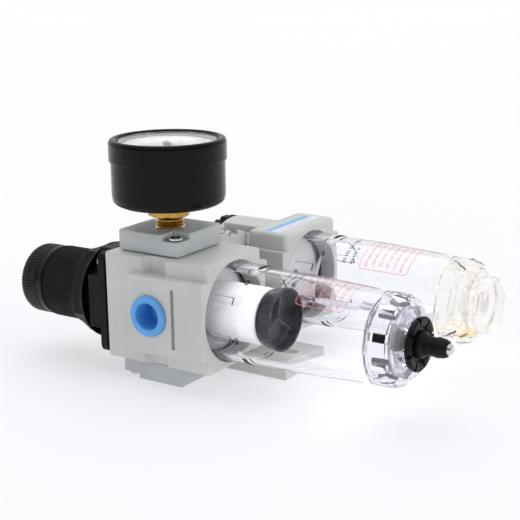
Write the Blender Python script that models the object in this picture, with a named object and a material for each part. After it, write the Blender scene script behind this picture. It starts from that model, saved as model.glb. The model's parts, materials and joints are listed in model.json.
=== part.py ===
"""Filter regulator and lubricator, two modules joined side by side and lying on their rear blocks.

X runs along both bowls toward the drains, Y along the air ports from inlet to outlet, Z up.
The origin is the middle of the face that the filter regulator rests on.
"""

import math

import bmesh
import bpy
from mathutils import Matrix, Vector

MM = 0.001
GAP = 0.3

AXIS_H = 26.6          # height of both bowl axes above the resting face
PITCH = 50.0           # distance between the two bowl axes
PORT_X = 5.0           # station of the air ports

BODY_X0 = -16.8
BODY_X1 = 26.8
RIM_Y = 16.0
RIM_Z = 19.0
PAD_X0 = -4.2
PAD_Y = 19.7
PAD_Z = 13.5
LUBE_R = 19.7
LUBE_Y = 17.4
LUBE_X0 = -9.0
LUBE_STEP_X = 10.0
CROWN_R = 19.4

BLOCK_HALF = 12.7
BLOCK_Z0 = RIM_Z + GAP
POCKET = 6.8
POCKET_DEPTH = 2.1
SCREW_AT = 9.6

SOCKET_R = 17.7
SOCKET_X = 20.0
PORT_R = 5.9
SEAT_X = 9.0

BONNET_X = -17.1
NECK_R = 14.0
NECK_X = -36.0
STUB_R = 10.4
STUB_X = -46.0
KNOB_R = 13.1
KNOB_X0 = -50.0
KNOB_X1 = -36.4
CAP_X = -61.8
KNURLS = 36

GAUGE_CASE_R = 19.6
GAUGE_BEZEL_R = 20.2
GAUGE_CASE_Z0 = 34.6
GAUGE_CASE_Z1 = 49.7
GAUGE_TOP = 57.4
ZERO_MARK = -45.0      # degrees from X, seen from above

BOWL_X0 = 22.3
GUARD_X = 83.9
GUARD_R = 15.0
WINDOWS = 9
WINDOW_AT = 18.3       # degrees from the inlet side toward the gauge
DRAIN_R = 8.8
DRAIN_X = 94.7
NOZZLE_X = 105.6
PLUG_X = 99.2

CLAMP_X0 = 1.0
CLAMP_X1 = 9.0
CLAMP_SCREW_X = 5.4
BRACKET_X0 = -28.9
BRACKET_X1 = 38.9
BRACKET_T = 4.0
BRACKET_SCREWS = (-3.0, 13.4)


# ---------------------------------------------------------------- materials

def finish(name, colour, rough, metal=0.0, alpha=1.0):
    material = bpy.data.materials.new(name)
    material.use_nodes = True
    shader = material.node_tree.nodes["Principled BSDF"]
    shader.inputs["Base Color"].default_value = (*colour, 1.0)
    shader.inputs["Roughness"].default_value = rough
    shader.inputs["Metallic"].default_value = metal
    shader.inputs["Alpha"].default_value = alpha
    material.diffuse_color = (*colour, alpha)
    return material


FINISHES = {
    "painted": ((0.55, 0.55, 0.53), 0.45, 0.0),
    "painted_blue_grey": ((0.50, 0.52, 0.54), 0.45, 0.0),
    "black_plastic": ((0.02, 0.02, 0.022), 0.5, 0.0),
    "blue_plastic": ((0.08, 0.32, 0.75), 0.4, 0.0),
    "white_plastic": ((0.8, 0.8, 0.8), 0.6, 0.0),
    "clear": ((0.85, 0.88, 0.9), 0.08, 0.0),
    "rubber": ((0.03, 0.03, 0.03), 0.8, 0.0),
    "brass": ((0.75, 0.55, 0.22), 0.3, 1.0),
    "steel": ((0.65, 0.65, 0.66), 0.25, 1.0),
    "zinc": ((0.6, 0.6, 0.6), 0.4, 1.0),
    "dial": ((0.9, 0.9, 0.9), 0.7, 0.0),
}


# ---------------------------------------------------------------- shape helpers

def clear_scene():
    for obj in list(bpy.data.objects):
        bpy.data.objects.remove(obj, do_unlink=True)


def add_object(name, bm, look=None):
    bmesh.ops.remove_doubles(bm, verts=bm.verts, dist=1e-7)
    bmesh.ops.recalc_face_normals(bm, faces=bm.faces)
    mesh = bpy.data.meshes.new(name)
    bm.to_mesh(mesh)
    bm.free()
    obj = bpy.data.objects.new(name, mesh)
    bpy.context.scene.collection.objects.link(obj)
    if look:
        mesh.materials.append(finish(name + "_finish", *FINISHES[look]))
    return obj


def smooth(obj, angle=32.0):
    """Rounds the shading of faces that meet at a shallow angle."""
    mesh = obj.data
    bm = bmesh.new()
    bm.from_mesh(mesh)
    limit = math.radians(angle)
    for face in bm.faces:
        face.smooth = True
    for edge in bm.edges:
        edge.smooth = len(edge.link_faces) == 2 and edge.calc_face_angle(0.0) < limit
    bm.to_mesh(mesh)
    bm.free()
    return obj


def lathe(name, outline, centre=(0.0, 0.0), axis="x", steps=36, look=None):
    """Turns a closed outline of (station, radius) points about an axis parallel to X, Y or Z."""
    bm = bmesh.new()
    rings = []
    for station, radius in outline:
        count = 1 if radius < 1e-6 else steps
        ring = []
        for k in range(count):
            angle = 2.0 * math.pi * k / steps
            a = centre[0] + radius * math.cos(angle)
            b = centre[1] + radius * math.sin(angle)
            point = {"x": (station, a, b), "y": (a, station, b), "z": (a, b, station)}[axis]
            ring.append(bm.verts.new(Vector(point) * MM))
        rings.append(ring)
    for i, ring in enumerate(rings):
        other = rings[(i + 1) % len(rings)]
        if len(ring) == 1 and len(other) == 1:
            continue
        for k in range(steps):
            j = (k + 1) % steps
            corners = [ring[k % len(ring)], ring[j % len(ring)], other[j % len(other)], other[k % len(other)]]
            bm.faces.new(list(dict.fromkeys(corners)))
    return smooth(add_object(name, bm, look))


def box(name, low, high, look=None, bevel=0.0, segments=2):
    bm = bmesh.new()
    bmesh.ops.create_cube(bm, size=1.0)
    size = [high[i] - low[i] for i in range(3)]
    middle = [(high[i] + low[i]) / 2.0 for i in range(3)]
    bmesh.ops.scale(bm, vec=Vector(size) * MM, verts=bm.verts)
    bmesh.ops.translate(bm, vec=Vector(middle) * MM, verts=bm.verts)
    if bevel:
        bmesh.ops.bevel(bm, geom=bm.edges[:], offset=bevel * MM, segments=segments, profile=0.5,
                        affect="EDGES", clamp_overlap=True)
    return smooth(add_object(name, bm, look))


def prism(name, outline, low, high, axis="x", centre=(0.0, 0.0), look=None):
    """Extrudes a closed flat outline along one axis. The outline holds the two other coordinates in order."""
    bm = bmesh.new()
    ends = []
    for station in (low, high):
        ring = []
        for a, b in outline:
            p, q = a + centre[0], b + centre[1]
            point = {"x": (station, p, q), "y": (p, station, q), "z": (p, q, station)}[axis]
            ring.append(bm.verts.new(Vector(point) * MM))
        ends.append(ring)
    count = len(outline)
    bm.faces.new(ends[0])
    bm.faces.new(ends[1][::-1])
    for k in range(count):
        j = (k + 1) % count
        bm.faces.new([ends[0][k], ends[0][j], ends[1][j], ends[1][k]])
    return smooth(add_object(name, bm, look))


def rounded_rectangle(half_a, half_b, radius, steps=3):
    points = []
    for turn, (sa, sb) in enumerate(((1, 1), (-1, 1), (-1, -1), (1, -1))):
        for k in range(steps + 1):
            angle = math.radians(90.0 * turn + 90.0 * k / steps)
            points.append((sa * (half_a - radius) + radius * math.cos(angle),
                           sb * (half_b - radius) + radius * math.sin(angle)))
    return points


def ring_teeth(count, crest, root, shape=((0.0, 0), (0.22, 1), (0.78, 1))):
    """Outline of a wheel with teeth. The shape lists (share of the pitch, on the crest) for one tooth."""
    points = []
    step = 2.0 * math.pi / count
    for k in range(count):
        for offset, high in shape:
            radius = crest if high else root
            angle = step * (k + offset)
            points.append((radius * math.cos(angle), radius * math.sin(angle)))
    return points


def combine(target, operation, tools):
    """Joins the tools to the target or cuts them out of it in one step, then drops the tools."""
    group = bpy.data.collections.new(target.name + "_tools")
    for tool in tools:
        group.objects.link(tool)
    modifier = target.modifiers.new("tools", "BOOLEAN")
    modifier.operation = operation
    modifier.solver = "EXACT"
    modifier.operand_type = "COLLECTION"
    modifier.collection = group
    bpy.context.view_layer.update()
    graph = bpy.context.evaluated_depsgraph_get()
    mesh = bpy.data.meshes.new_from_object(target.evaluated_get(graph))
    target.modifiers.clear()
    materials = [slot.material for slot in target.material_slots]
    target.data = mesh
    mesh.materials.clear()
    for material in materials:
        mesh.materials.append(material)
    for tool in tools:
        bpy.data.objects.remove(tool, do_unlink=True)
    bpy.data.collections.remove(group)
    return smooth(target)


def cut(target, *tools):
    return combine(target, "DIFFERENCE", tools)


def join(target, *tools):
    return combine(target, "UNION", tools)


def rod(name, x0, x1, radius, y=0.0, z=AXIS_H, steps=20):
    return lathe(name, [(x0, 0.0), (x0, radius), (x1, radius), (x1, 0.0)], (y, z), "x", steps)


def rod_y(name, y0, y1, radius, x=PORT_X, z=AXIS_H, steps=20):
    return lathe(name, [(y0, 0.0), (y0, radius), (y1, radius), (y1, 0.0)], (x, z), "y", steps)


def rod_z(name, z0, z1, radius, x=0.0, y=0.0, steps=20):
    return lathe(name, [(z0, 0.0), (z0, radius), (z1, radius), (z1, 0.0)], (x, y), "z", steps)


def torus_outline(station, ring_radius, wire, steps=6):
    return [(station + wire * math.cos(2.0 * math.pi * k / steps),
             ring_radius + wire * math.sin(2.0 * math.pi * k / steps)) for k in range(steps)]


def coil(name, x0, x1, radius, wire, turns, y=0.0, look="steel", sides=5, per_turn=10):
    """A compression spring along X, its ends closed with flat caps."""
    bm = bmesh.new()
    count = int(turns * per_turn)
    rings = []
    pitch = (x1 - x0 - 2.0 * wire) / turns
    for i in range(count + 1):
        angle = 2.0 * math.pi * i / per_turn
        middle = Vector((x0 + wire + pitch * angle / (2.0 * math.pi), y + radius * math.cos(angle),
                         AXIS_H + radius * math.sin(angle)))
        tangent = Vector((pitch / (2.0 * math.pi), -radius * math.sin(angle),
                          radius * math.cos(angle))).normalized()
        outward = Vector((0.0, math.cos(angle), math.sin(angle)))
        across = tangent.cross(outward)
        ring = []
        for k in range(sides):
            turn = 2.0 * math.pi * k / sides
            point = middle + wire * (math.cos(turn) * outward + math.sin(turn) * across)
            ring.append(bm.verts.new(point * MM))
        rings.append(ring)
    for i in range(count):
        for k in range(sides):
            j = (k + 1) % sides
            bm.faces.new([rings[i][k], rings[i][j], rings[i + 1][j], rings[i + 1][k]])
    bm.faces.new(rings[0])
    bm.faces.new(rings[-1][::-1])
    return smooth(add_object(name, bm, look), 70.0)


def place_origin(obj, point):
    """Moves the object's own origin onto a point of its joint axis."""
    target = Vector(point) * MM
    obj.data.transform(Matrix.Translation(-target))
    obj.location = target
    return obj


def arc_points(centre, radius, start, end, steps):
    """Points of an arc as (station, radius) pairs. Angles are in degrees, 0 along +station."""
    points = []
    for k in range(steps + 1):
        angle = math.radians(start + (end - start) * k / steps)
        points.append((centre[0] + radius * math.cos(angle), centre[1] + radius * math.sin(angle)))
    return points


# ---------------------------------------------------------------- module bodies

def pad_slab(name, y):
    outline = [(PAD_X0, y - PAD_Y), (BODY_X1, y - PAD_Y), (BODY_X1, y + PAD_Y), (PAD_X0, y + PAD_Y)]
    return prism(name, outline, AXIS_H - PAD_Z, AXIS_H + PAD_Z, "z")


def bowl_socket(name, y):
    return rod(name, SOCKET_X, BODY_X1 + 1.0, SOCKET_R, y, AXIS_H, 32)


def pad_slots(name, y, x=14.1):
    tools = []
    for k, side in enumerate((-1.0, 1.0)):
        middle = y + side * PAD_Y
        tools.append(box("%s%d" % (name, k), (x, middle - 1.4, AXIS_H - 10.4),
                         (x + 1.4, middle + 1.4, AXIS_H + 10.4)))
    return tools


def rim_notches(name):
    """Recesses that split each of the four long rims of the filter regulator."""
    tools = []
    for k, side in enumerate((-1.0, 1.0)):
        for n, up in enumerate((-1.0, 1.0)):
            z0 = AXIS_H + up * (PAD_Z if up > 0 else RIM_Z + 1.0)
            z1 = AXIS_H + up * (RIM_Z + 1.0 if up > 0 else PAD_Z)
            outline = [(-1.4, side * (RIM_Y + 1.0)), (0.5, side * 14.4), (2.2, side * 13.3),
                       (8.6, side * 13.3),
                       (9.4, side * 14.2), (9.4, side * (RIM_Y + 1.0))]
            tools.append(prism("%s%d%d" % (name, k, n), outline, z0, z1, "z"))
    return tools


def block_screw_holes(name, y, up, corners, start=RIM_Z):
    low, high = sorted((AXIS_H + up * (start - 7.0), AXIS_H + up * (start + 1.0)))
    return [rod_z("%s%d" % (name, k), low, high, 1.5, sx * SCREW_AT, y + sy * SCREW_AT, 12)
            for k, (sx, sy) in enumerate(corners)]


FRONT_CORNERS = ((1, -1), (-1, 1))
REAR_CORNERS = ((-1, -1), (1, 1))


def filter_body():
    body = box("fr_body", (BODY_X0, -RIM_Y, AXIS_H - RIM_Z), (BODY_X1, RIM_Y, AXIS_H + RIM_Z), "painted",
               1.2, 2)
    join(body, pad_slab("pads", 0.0))
    tools = [bowl_socket("socket", 0.0)]
    tools.append(rod("diaphragm_room", BODY_X0 - 1.0, -11.0, 13.4, 0.0, AXIS_H, 24))
    tools.append(rod("stem_bore", -12.0, SOCKET_X + 1.0, 1.7, 0.0, AXIS_H, 12))
    tools.append(rod("seat_bore", 3.0, SEAT_X + 1.0, 3.6, 0.0, AXIS_H, 20))
    tools.append(rod("valve_room", SEAT_X, SOCKET_X + 1.0, 5.6, 0.0, AXIS_H, 20))
    tools.append(rod_y("inlet", -PAD_Y - 1.0, -4.9, PORT_R))
    tools.append(rod_y("outlet", 6.9, PAD_Y + 1.0, PORT_R))
    tools.append(rod_y("outlet_way", 2.0, 8.0, 2.8, 5.2, AXIS_H, 16))
    tools.append(rod_z("gauge_port", AXIS_H + 3.0, AXIS_H + RIM_Z + 1.0, 1.5, 0.0, 0.0, 12))
    tools += pad_slots("slot", 0.0)
    tools += rim_notches("notch")
    tools += block_screw_holes("front_hole", 0.0, 1.0, FRONT_CORNERS)
    tools += block_screw_holes("rear_hole", 0.0, -1.0, REAR_CORNERS)
    return cut(body, *tools)


def lubricator_body():
    y = PITCH
    body = box("lube_body", (LUBE_STEP_X, y - LUBE_Y, AXIS_H - LUBE_R),
               (BODY_X1, y + LUBE_Y, AXIS_H + LUBE_R),
               "painted", 1.8, 3)
    crown = [(LUBE_X0, 0.0), (LUBE_X0, CROWN_R - 1.4), (LUBE_X0 + 0.4, CROWN_R - 0.4),
             (LUBE_X0 + 1.4, CROWN_R),
             (LUBE_STEP_X + 3.0, CROWN_R), (LUBE_STEP_X + 3.0, 0.0)]
    boss = box("boss", (-6.0, y - 9.8, AXIS_H), (LUBE_STEP_X + 2.0, y + 0.4, AXIS_H + CROWN_R - 0.1), None,
               1.0, 2)
    outline = [(PAD_X0, y - PAD_Y + 0.02), (BODY_X1, y - PAD_Y), (BODY_X1, y + PAD_Y),
               (PAD_X0, y + PAD_Y - 0.02)]
    pads = prism("lube_pads", outline, AXIS_H - PAD_Z, AXIS_H + PAD_Z, "z")
    join(body, lathe("crown", crown, (y, AXIS_H), "x", 32), boss, pads)
    tools = [bowl_socket("lube_socket", y)]
    tools.append(rod("dome_room", LUBE_X0 - 1.0, -3.0, 10.6, y, AXIS_H, 24))
    tools.append(rod("drip_bore", -4.0, SOCKET_X + 1.0, 2.0, y, AXIS_H, 12))
    tools.append(rod("tube_bore", 12.0, SOCKET_X + 1.0, 2.1, y, AXIS_H - 7.0, 16))
    tools.append(rod_y("lube_inlet", y - PAD_Y - 1.0, y - 4.0, PORT_R))
    tools.append(rod_y("lube_outlet", y + 4.0, y + PAD_Y + 1.0, PORT_R))
    tools.append(rod_y("venturi", y - 5.0, y + 5.0, 3.2, PORT_X, AXIS_H, 20))
    tools += pad_slots("lube_slot", y)
    tools.append(rod_z("rear_hole", AXIS_H - LUBE_R - 1.0, AXIS_H - 13.0, 1.5, 0.0, y, 12))
    return cut(body, *tools)


# ---------------------------------------------------------------- side blocks

def corner_pocket(name, sx, sy, y, z0, z1):
    """A square recess over one corner, its inner corner rounded."""
    edge = BLOCK_HALF - POCKET
    a0, a1 = sorted((sx * edge, sx * (BLOCK_HALF + 1.0)))
    b0, b1 = sorted((y + sy * edge, y + sy * (BLOCK_HALF + 1.0)))
    return box(name, (a0, b0, z0), (a1, b1, z1))


def side_block(name, y, up, corners, start, look):
    """A cover block on the front (up = 1) or rear (up = -1) face of a module."""
    outer = AXIS_H + up * AXIS_H
    inner = AXIS_H + up * start
    z0, z1 = sorted((outer, inner))
    block = box(name, (-BLOCK_HALF, y - BLOCK_HALF, z0), (BLOCK_HALF, y + BLOCK_HALF, z1), look, 0.6, 2)
    tools = []
    for k, (sx, sy) in enumerate(corners):
        depth = AXIS_H + up * (AXIS_H - POCKET_DEPTH)
        p0, p1 = sorted((depth, outer + up * 1.0))
        tools.append(corner_pocket("%s_pocket%d" % (name, k), sx, sy, y, p0, p1))
        tools.append(rod_z("%s_hole%d" % (name, k), z0 - 1.0, z1 + 1.0, 1.5, sx * SCREW_AT,
                           y + sy * SCREW_AT, 12))
    return block, tools


def pan_screw(name, x, y, seat, up, shank, head_r=2.4, head_h=1.4, shank_r=1.15):
    """A pan-head screw along Z whose head rests on the height seat and points along up."""
    sign = 1.0 if up > 0 else -1.0
    outline = [(seat - sign * shank, 0.0), (seat - sign * shank, shank_r), (seat, shank_r), (seat, head_r),
               (seat + sign * 0.6 * head_h, head_r), (seat + sign * head_h, 0.5 * head_r),
               (seat + sign * head_h, 0.0)]
    screw = lathe(name, outline, (x, y), "z", 12, "steel")
    top = seat + sign * head_h
    z0, z1 = sorted((top - sign * 0.8, top + sign * 0.5))
    bars = [box(name + "_a", (x - 1.4, y - 0.3, z0), (x + 1.4, y + 0.3, z1)),
            box(name + "_b", (x - 0.3, y - 1.4, z0), (x + 0.3, y + 1.4, z1))]
    return cut(screw, *bars)


def blocks():
    gauge_block, tools = side_block("gauge_block", 0.0, 1.0, FRONT_CORNERS, BLOCK_Z0, "painted_blue_grey")
    tools.append(rod_z("gauge_hole", AXIS_H + 21.6, 2.0 * AXIS_H + 1.0, 5.2, 0.0, 0.0, 28))
    tools.append(rod_z("gauge_feed", AXIS_H + 18.0, AXIS_H + 22.0, 1.5, 0.0, 0.0, 12))
    cut(gauge_block, *tools)
    rear, tools = side_block("rear_block", 0.0, -1.0, REAR_CORNERS, BLOCK_Z0, "painted_blue_grey")
    cut(rear, *tools)
    lube_rear, tools = side_block("lube_rear_block", PITCH, -1.0, (), LUBE_R + GAP, "painted_blue_grey")
    cut(lube_rear, *tools, rod_z("lube_rear_seat", -1.0, POCKET_DEPTH, 3.0, 0.0, PITCH, 20),
        rod_z("lube_rear_hole", 0.0, 8.0, 1.5, 0.0, PITCH, 12))
    seat = AXIS_H - POCKET_DEPTH + GAP
    for k, (sx, sy) in enumerate(FRONT_CORNERS):
        pan_screw("gauge_block_screw_%d" % (k + 1), sx * SCREW_AT, sy * SCREW_AT, AXIS_H + seat, 1.0, 9.0)
    for k, (sx, sy) in enumerate(REAR_CORNERS):
        pan_screw("rear_block_screw_%d" % (k + 1), sx * SCREW_AT, sy * SCREW_AT, AXIS_H - seat, -1.0, 9.0)
    pan_screw("lube_rear_block_screw", 0.0, PITCH, AXIS_H - seat, -1.0, 9.0)


# ---------------------------------------------------------------- regulator side

def bonnet():
    plate = prism("bonnet", rounded_rectangle(RIM_Y, 17.8, 2.2), -19.9, BONNET_X, "x", (0.0, AXIS_H),
                  "black_plastic")
    boss = prism("boss", rounded_rectangle(RIM_Y, 17.8, 2.2), -24.6, -19.4, "x", (0.0, AXIS_H))
    corners = [box("corner%d%d" % (a, b), (-25.0, a * 12.6 - 4.0, AXIS_H + b * 14.6 - 5.2),
                   (-19.9, a * 12.6 + 4.0, AXIS_H + b * 14.6 + 5.2)) for a in (-1, 1) for b in (-1, 1)]
    cut(boss, *corners)
    neck = rod("neck", NECK_X, -24.0, NECK_R, 0.0, AXIS_H, 28)
    stub = rod("stub", STUB_X, NECK_X + 1.0, STUB_R, 0.0, AXIS_H, 24)
    join(plate, boss, neck, stub)
    tools = [rod("spring_room", -33.0, BONNET_X + 1.0, 11.0, 0.0, AXIS_H, 24),
             rod("screw_bore", STUB_X - 1.0, -32.0, 3.4, 0.0, AXIS_H, 16)]
    tools += [rod("bonnet_hole%d%d" % (a, b), -21.0, BONNET_X + 1.0, 1.6, a * 12.8, AXIS_H + b * 14.3, 12)
              for a in (-1, 1) for b in (-1, 1)]
    cut(plate, *tools)
    for n, (a, b) in enumerate(((-1, 1), (1, 1), (-1, -1), (1, -1))):
        outline = [(-18.2, 0.0), (-18.2, 1.25), (-20.2, 1.25), (-20.2, 2.4), (-20.9, 2.4), (-21.3, 1.4),
                   (-21.3, 0.0)]
        lathe("bonnet_screw_%d" % (n + 1), outline, (a * 12.8, AXIS_H + b * 14.3), "x", 12, "steel")


def panel_nut():
    """An octagonal ring nut with a thin dished flange on the body side."""
    flat = 14.9
    corner = flat / math.cos(math.pi / 8.0)
    octagon = [(corner * math.cos(math.pi * (2 * k + 1) / 8.0),
                corner * math.sin(math.pi * (2 * k + 1) / 8.0))
               for k in range(8)]
    nut = prism("panel_nut", octagon, -33.2, -28.9, "x", (0.0, AXIS_H), "black_plastic")
    dish = [(-30.2, 13.0), (-30.2, 14.7), (-29.4, 15.6), (-27.3, 17.35), (-26.6, 17.35), (-27.6, 16.2),
            (-28.4, 15.0),
            (-28.6, 13.0)]
    join(nut, lathe("dish", dish, (0.0, AXIS_H), "x", 28))
    cut(nut, rod("nut_bore", -35.0, -26.0, NECK_R + GAP + 0.1, 0.0, AXIS_H, 28))
    return place_origin(nut, (-31.0, 0.0, AXIS_H))


def knob():
    ribs = ring_teeth(KNURLS, KNOB_R, KNOB_R - 0.35, ((0.0, 0), (0.5, 1)))
    sleeve = prism("knob", ribs, KNOB_X0, KNOB_X1, "x", (0.0, AXIS_H), "black_plastic")
    cut(sleeve, rod("knob_room", -47.6, KNOB_X1 + 1.0, STUB_R + 0.5, 0.0, AXIS_H, 24),
        rod("knob_hole", KNOB_X0 - 1.0, -47.0, 3.3, 0.0, AXIS_H, 16))
    place_origin(sleeve, (-43.0, 0.0, AXIS_H))
    outline = [(-50.3, 0.0), (-50.3, 12.9), (-52.9, 12.4), (-53.2, 12.8)]
    outline += arc_points((CAP_X + 2.6, 10.2), 2.6, 90.0, 180.0, 3) + [(CAP_X, 0.0)]
    cap = lathe("knob_cap", outline, (0.0, AXIS_H), "x", 32, "black_plastic")
    place_origin(cap, (-55.0, 0.0, AXIS_H))
    screw = [(-49.7, 0.0), (-49.7, 2.9), (-32.7, 2.9), (-32.7, 5.4), (-31.0, 5.4), (-31.0, 2.9), (-22.6, 2.9),
             (-22.0, 2.4), (-22.0, 0.0)]
    rod_screw = lathe("adjusting_screw", screw, (0.0, AXIS_H), "x", 16, "zinc")
    place_origin(rod_screw, (-40.0, 0.0, AXIS_H))
    seat = [(-29.0, 3.3), (-29.0, 10.4), (-26.6, 10.4), (-26.6, 6.0), (-25.4, 5.4), (-25.4, 3.3)]
    nut = lathe("spring_nut", seat, (0.0, AXIS_H), "x", 20, "zinc")
    place_origin(nut, (-27.0, 0.0, AXIS_H))
    coil("regulating_spring", -26.3, -16.4, 7.9, 0.9, 3.5, 0.0)


def valve_parts():
    plate = [(-16.1, 0.0), (-16.1, 9.6), (-14.9, 10.0), (-14.9, 0.0)]
    piston = lathe("diaphragm_plate", plate, (0.0, AXIS_H), "x", 28, "zinc")
    place_origin(piston, (-15.5, 0.0, AXIS_H))
    membrane = [(-14.6, 0.0), (-14.6, 10.2), (-14.0, 11.2), (-14.6, 12.2), (-14.6, 13.0), (-13.6, 13.0),
                (-13.6, 12.4),
                (-12.9, 11.2), (-13.6, 10.2), (-13.6, 0.0)]
    lathe("diaphragm", membrane, (0.0, AXIS_H), "x", 20, "rubber")
    stem = [(-13.2, 0.0), (-13.2, 1.3), (SEAT_X + GAP, 1.3), (SEAT_X + GAP, 4.8), (11.4, 4.8), (11.4, 2.4),
            (12.4, 2.4),
            (12.4, 0.0)]
    valve = lathe("valve_stem", stem, (0.0, AXIS_H), "x", 20, "brass")
    place_origin(valve, (SEAT_X, 0.0, AXIS_H))
    coil("valve_spring", 11.8, 19.6, 3.4, 0.45, 3.5, 0.0, sides=4, per_turn=8)


# ---------------------------------------------------------------- pressure gauge

def gauge():
    z = AXIS_H
    hexagon = [(7.0 * math.cos(math.pi * k / 3.0), 7.0 * math.sin(math.pi * k / 3.0)) for k in range(6)]
    socket = prism("gauge_socket", hexagon, z + 30.2, z + 34.3, "z", (0.0, 0.0), "brass")
    taper = [(z + 22.0, 0.0), (z + 22.0, 4.3), (z + 22.6, 4.7)]
    pitch = 1.8
    for k in range(3):
        taper += [(z + 23.0 + pitch * k, 4.4), (z + 23.0 + pitch * (k + 0.5), 4.9)]
    taper += [(z + 28.4, 4.3), (z + 29.0, 4.3), (z + 30.6, 6.4), (z + 30.6, 0.0)]
    join(socket, lathe("thread", taper, (0.0, 0.0), "z", 20),
         rod_z("spigot", z + 34.0, z + 39.4, 3.0, 0.0, 0.0, 16))
    cut(socket, rod_z("feed", z + 21.0, z + 36.5, 1.1, 0.0, 0.0, 12))
    r = GAUGE_CASE_R
    case = [(z + GAUGE_CASE_Z0, 3.3), (z + GAUGE_CASE_Z0, r - 2.6)]
    case += arc_points((z + GAUGE_CASE_Z0 + 2.4, r - 2.4), 2.4, 165.0, 90.0, 2)
    case += [(z + GAUGE_CASE_Z1 + 2.0, r), (z + GAUGE_CASE_Z1 + 2.0, r - 1.2),
             (z + GAUGE_CASE_Z0 + 2.6, r - 1.4),
             (z + GAUGE_CASE_Z0 + 1.4, r - 3.2), (z + GAUGE_CASE_Z0 + 1.4, 3.3)]
    lathe("gauge_case", case, (0.0, 0.0), "z", 32, "black_plastic")
    b = GAUGE_BEZEL_R
    bezel = [(z + GAUGE_CASE_Z1 + 2.3, 17.0), (z + GAUGE_CASE_Z1 + 2.3, 19.9),
             (z + GAUGE_CASE_Z1 + 0.2, 19.9),
             (z + GAUGE_CASE_Z1 + 0.2, b - 0.1), (z + GAUGE_TOP - 0.8, b), (z + GAUGE_TOP, b - 0.8),
             (z + GAUGE_TOP, 17.9), (z + GAUGE_TOP - 0.9, 17.0)]
    lathe("gauge_bezel", bezel, (0.0, 0.0), "z", 32, "black_plastic")
    lens = [(z + 55.9, 0.0), (z + 55.9, 16.7), (z + 56.7, 16.7), (z + 56.7, 0.0)]
    lathe("gauge_lens", lens, (0.0, 0.0), "z", 24, "clear")
    dial = [(z + 53.6, 1.2), (z + 53.6, 16.7), (z + 54.2, 16.7), (z + 54.2, 1.2)]
    lathe("gauge_dial", dial, (0.0, 0.0), "z", 24, "dial")
    needle = [(-5.0, -0.9), (-1.6, -1.2), (0.0, -1.5), (1.6, -0.7), (13.2, -0.15), (13.2, 0.15), (1.6, 0.7),
              (0.0, 1.5), (-1.6, 1.2), (-5.0, 0.9)]
    pointer = prism("gauge_pointer", needle, z + 54.7, z + 55.1, "z", (0.0, 0.0), "black_plastic")
    join(pointer, rod_z("arbor", z + 50.6, z + 55.4, 0.8, 0.0, 0.0, 12))
    pointer.data.transform(Matrix.Rotation(math.radians(ZERO_MARK), 4, "Z"))
    place_origin(pointer, (0.0, 0.0, z + 55.0))
    bourdon_tube(z + 45.0)


def bourdon_tube(z):
    """A flattened tube bent round most of the case, standing on a post from the socket."""
    bm = bmesh.new()
    rings = []
    steps = 20
    for i in range(steps + 1):
        angle = math.radians(-60.0 + 250.0 * i / steps)
        outward = Vector((math.cos(angle), math.sin(angle), 0.0))
        middle = outward * 11.5 + Vector((0.0, 0.0, z))
        corners = ((0.5, 2.0), (0.5, -2.0), (-0.5, -2.0), (-0.5, 2.0))
        rings.append([bm.verts.new((middle + a * outward + Vector((0.0, 0.0, b))) * MM) for a, b in corners])
    for i in range(steps):
        for k in range(4):
            j = (k + 1) % 4
            bm.faces.new([rings[i][k], rings[i][j], rings[i + 1][j], rings[i + 1][k]])
    bm.faces.new(rings[0])
    bm.faces.new(rings[-1][::-1])
    tube = smooth(add_object("bourdon_tube", bm, "brass"))
    start = math.radians(-60.0)
    side = Vector((math.cos(start), math.sin(start), 0.0)) * 11.5
    block = box("tube_block", (side.x - 1.6, side.y - 1.6, z - 5.0), (side.x + 1.6, side.y + 1.6, z + 1.6))
    bar = box("tube_bar", (-1.8, side.y - 1.2, z - 5.2), (side.x + 1.0, 1.8, z - 3.6))
    return join(tube, block, bar)


# ---------------------------------------------------------------- ports

def port_plug(name, y, out):
    """A push-in cap: flange on the pad, thin cup inside the port."""
    face = y + out * (PAD_Y + GAP)
    outline = [(face + out * 1.2, 4.6), (face + out * 1.2, 7.0), (face, 7.2), (face, 5.6),
               (face - out * 8.6, 5.3),
               (face - out * 8.6, 0.0), (face - out * 7.4, 0.0), (face - out * 7.4, 4.3)]
    plug = lathe(name, outline, (PORT_X, AXIS_H), "y", 20, "blue_plastic")
    return place_origin(plug, (PORT_X, face, AXIS_H))


# ---------------------------------------------------------------- bowls

def bowl(name, y, look="clear"):
    """A clear bowl with a thick collar, a slight taper and a reduced end."""
    outline = [(BOWL_X0, 14.7), (BOWL_X0, 17.1), (37.6, 17.0), (38.6, 16.6), (60.0, 16.2), (83.6, 15.0),
               (83.6, 10.5),
               (89.4, 10.4), (89.4, 7.0), (92.3, 7.0), (92.3, 4.0), (88.8, 4.0), (85.6, 8.2), (80.4, 13.0)]
    shell = lathe(name, outline, (y, AXIS_H), "x", 28, look)
    return place_origin(shell, (50.0, y, AXIS_H))


def guard_ring(name, y, windows):
    """The clear end ring with a row of slots round it."""
    outline = [(GUARD_X, 13.1), (GUARD_X, GUARD_R), (89.6, GUARD_R), (91.6, 14.3), (94.4, 11.2), (94.4, 4.3),
               (92.6, 4.3), (92.6, 11.5), (90.4, 12.9)]
    ring = lathe(name, outline, (y, AXIS_H), "x", 27, "clear")
    if windows:
        tools = []
        for k in range(WINDOWS):
            angle = math.radians(180.0 - WINDOW_AT - 360.0 * k / WINDOWS)
            slot = box("%s_slot%d" % (name, k), (85.1, -1.35, 11.6), (90.9, 1.35, 16.0))
            spin = Matrix.Rotation(angle - math.pi / 2.0, 4, "X")
            slot.data.transform(Matrix.Translation((0.0, y * MM, AXIS_H * MM)) @ spin)
            tools.append(slot)
        cut(ring, *tools)
    return place_origin(ring, (89.0, y, AXIS_H))


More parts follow.
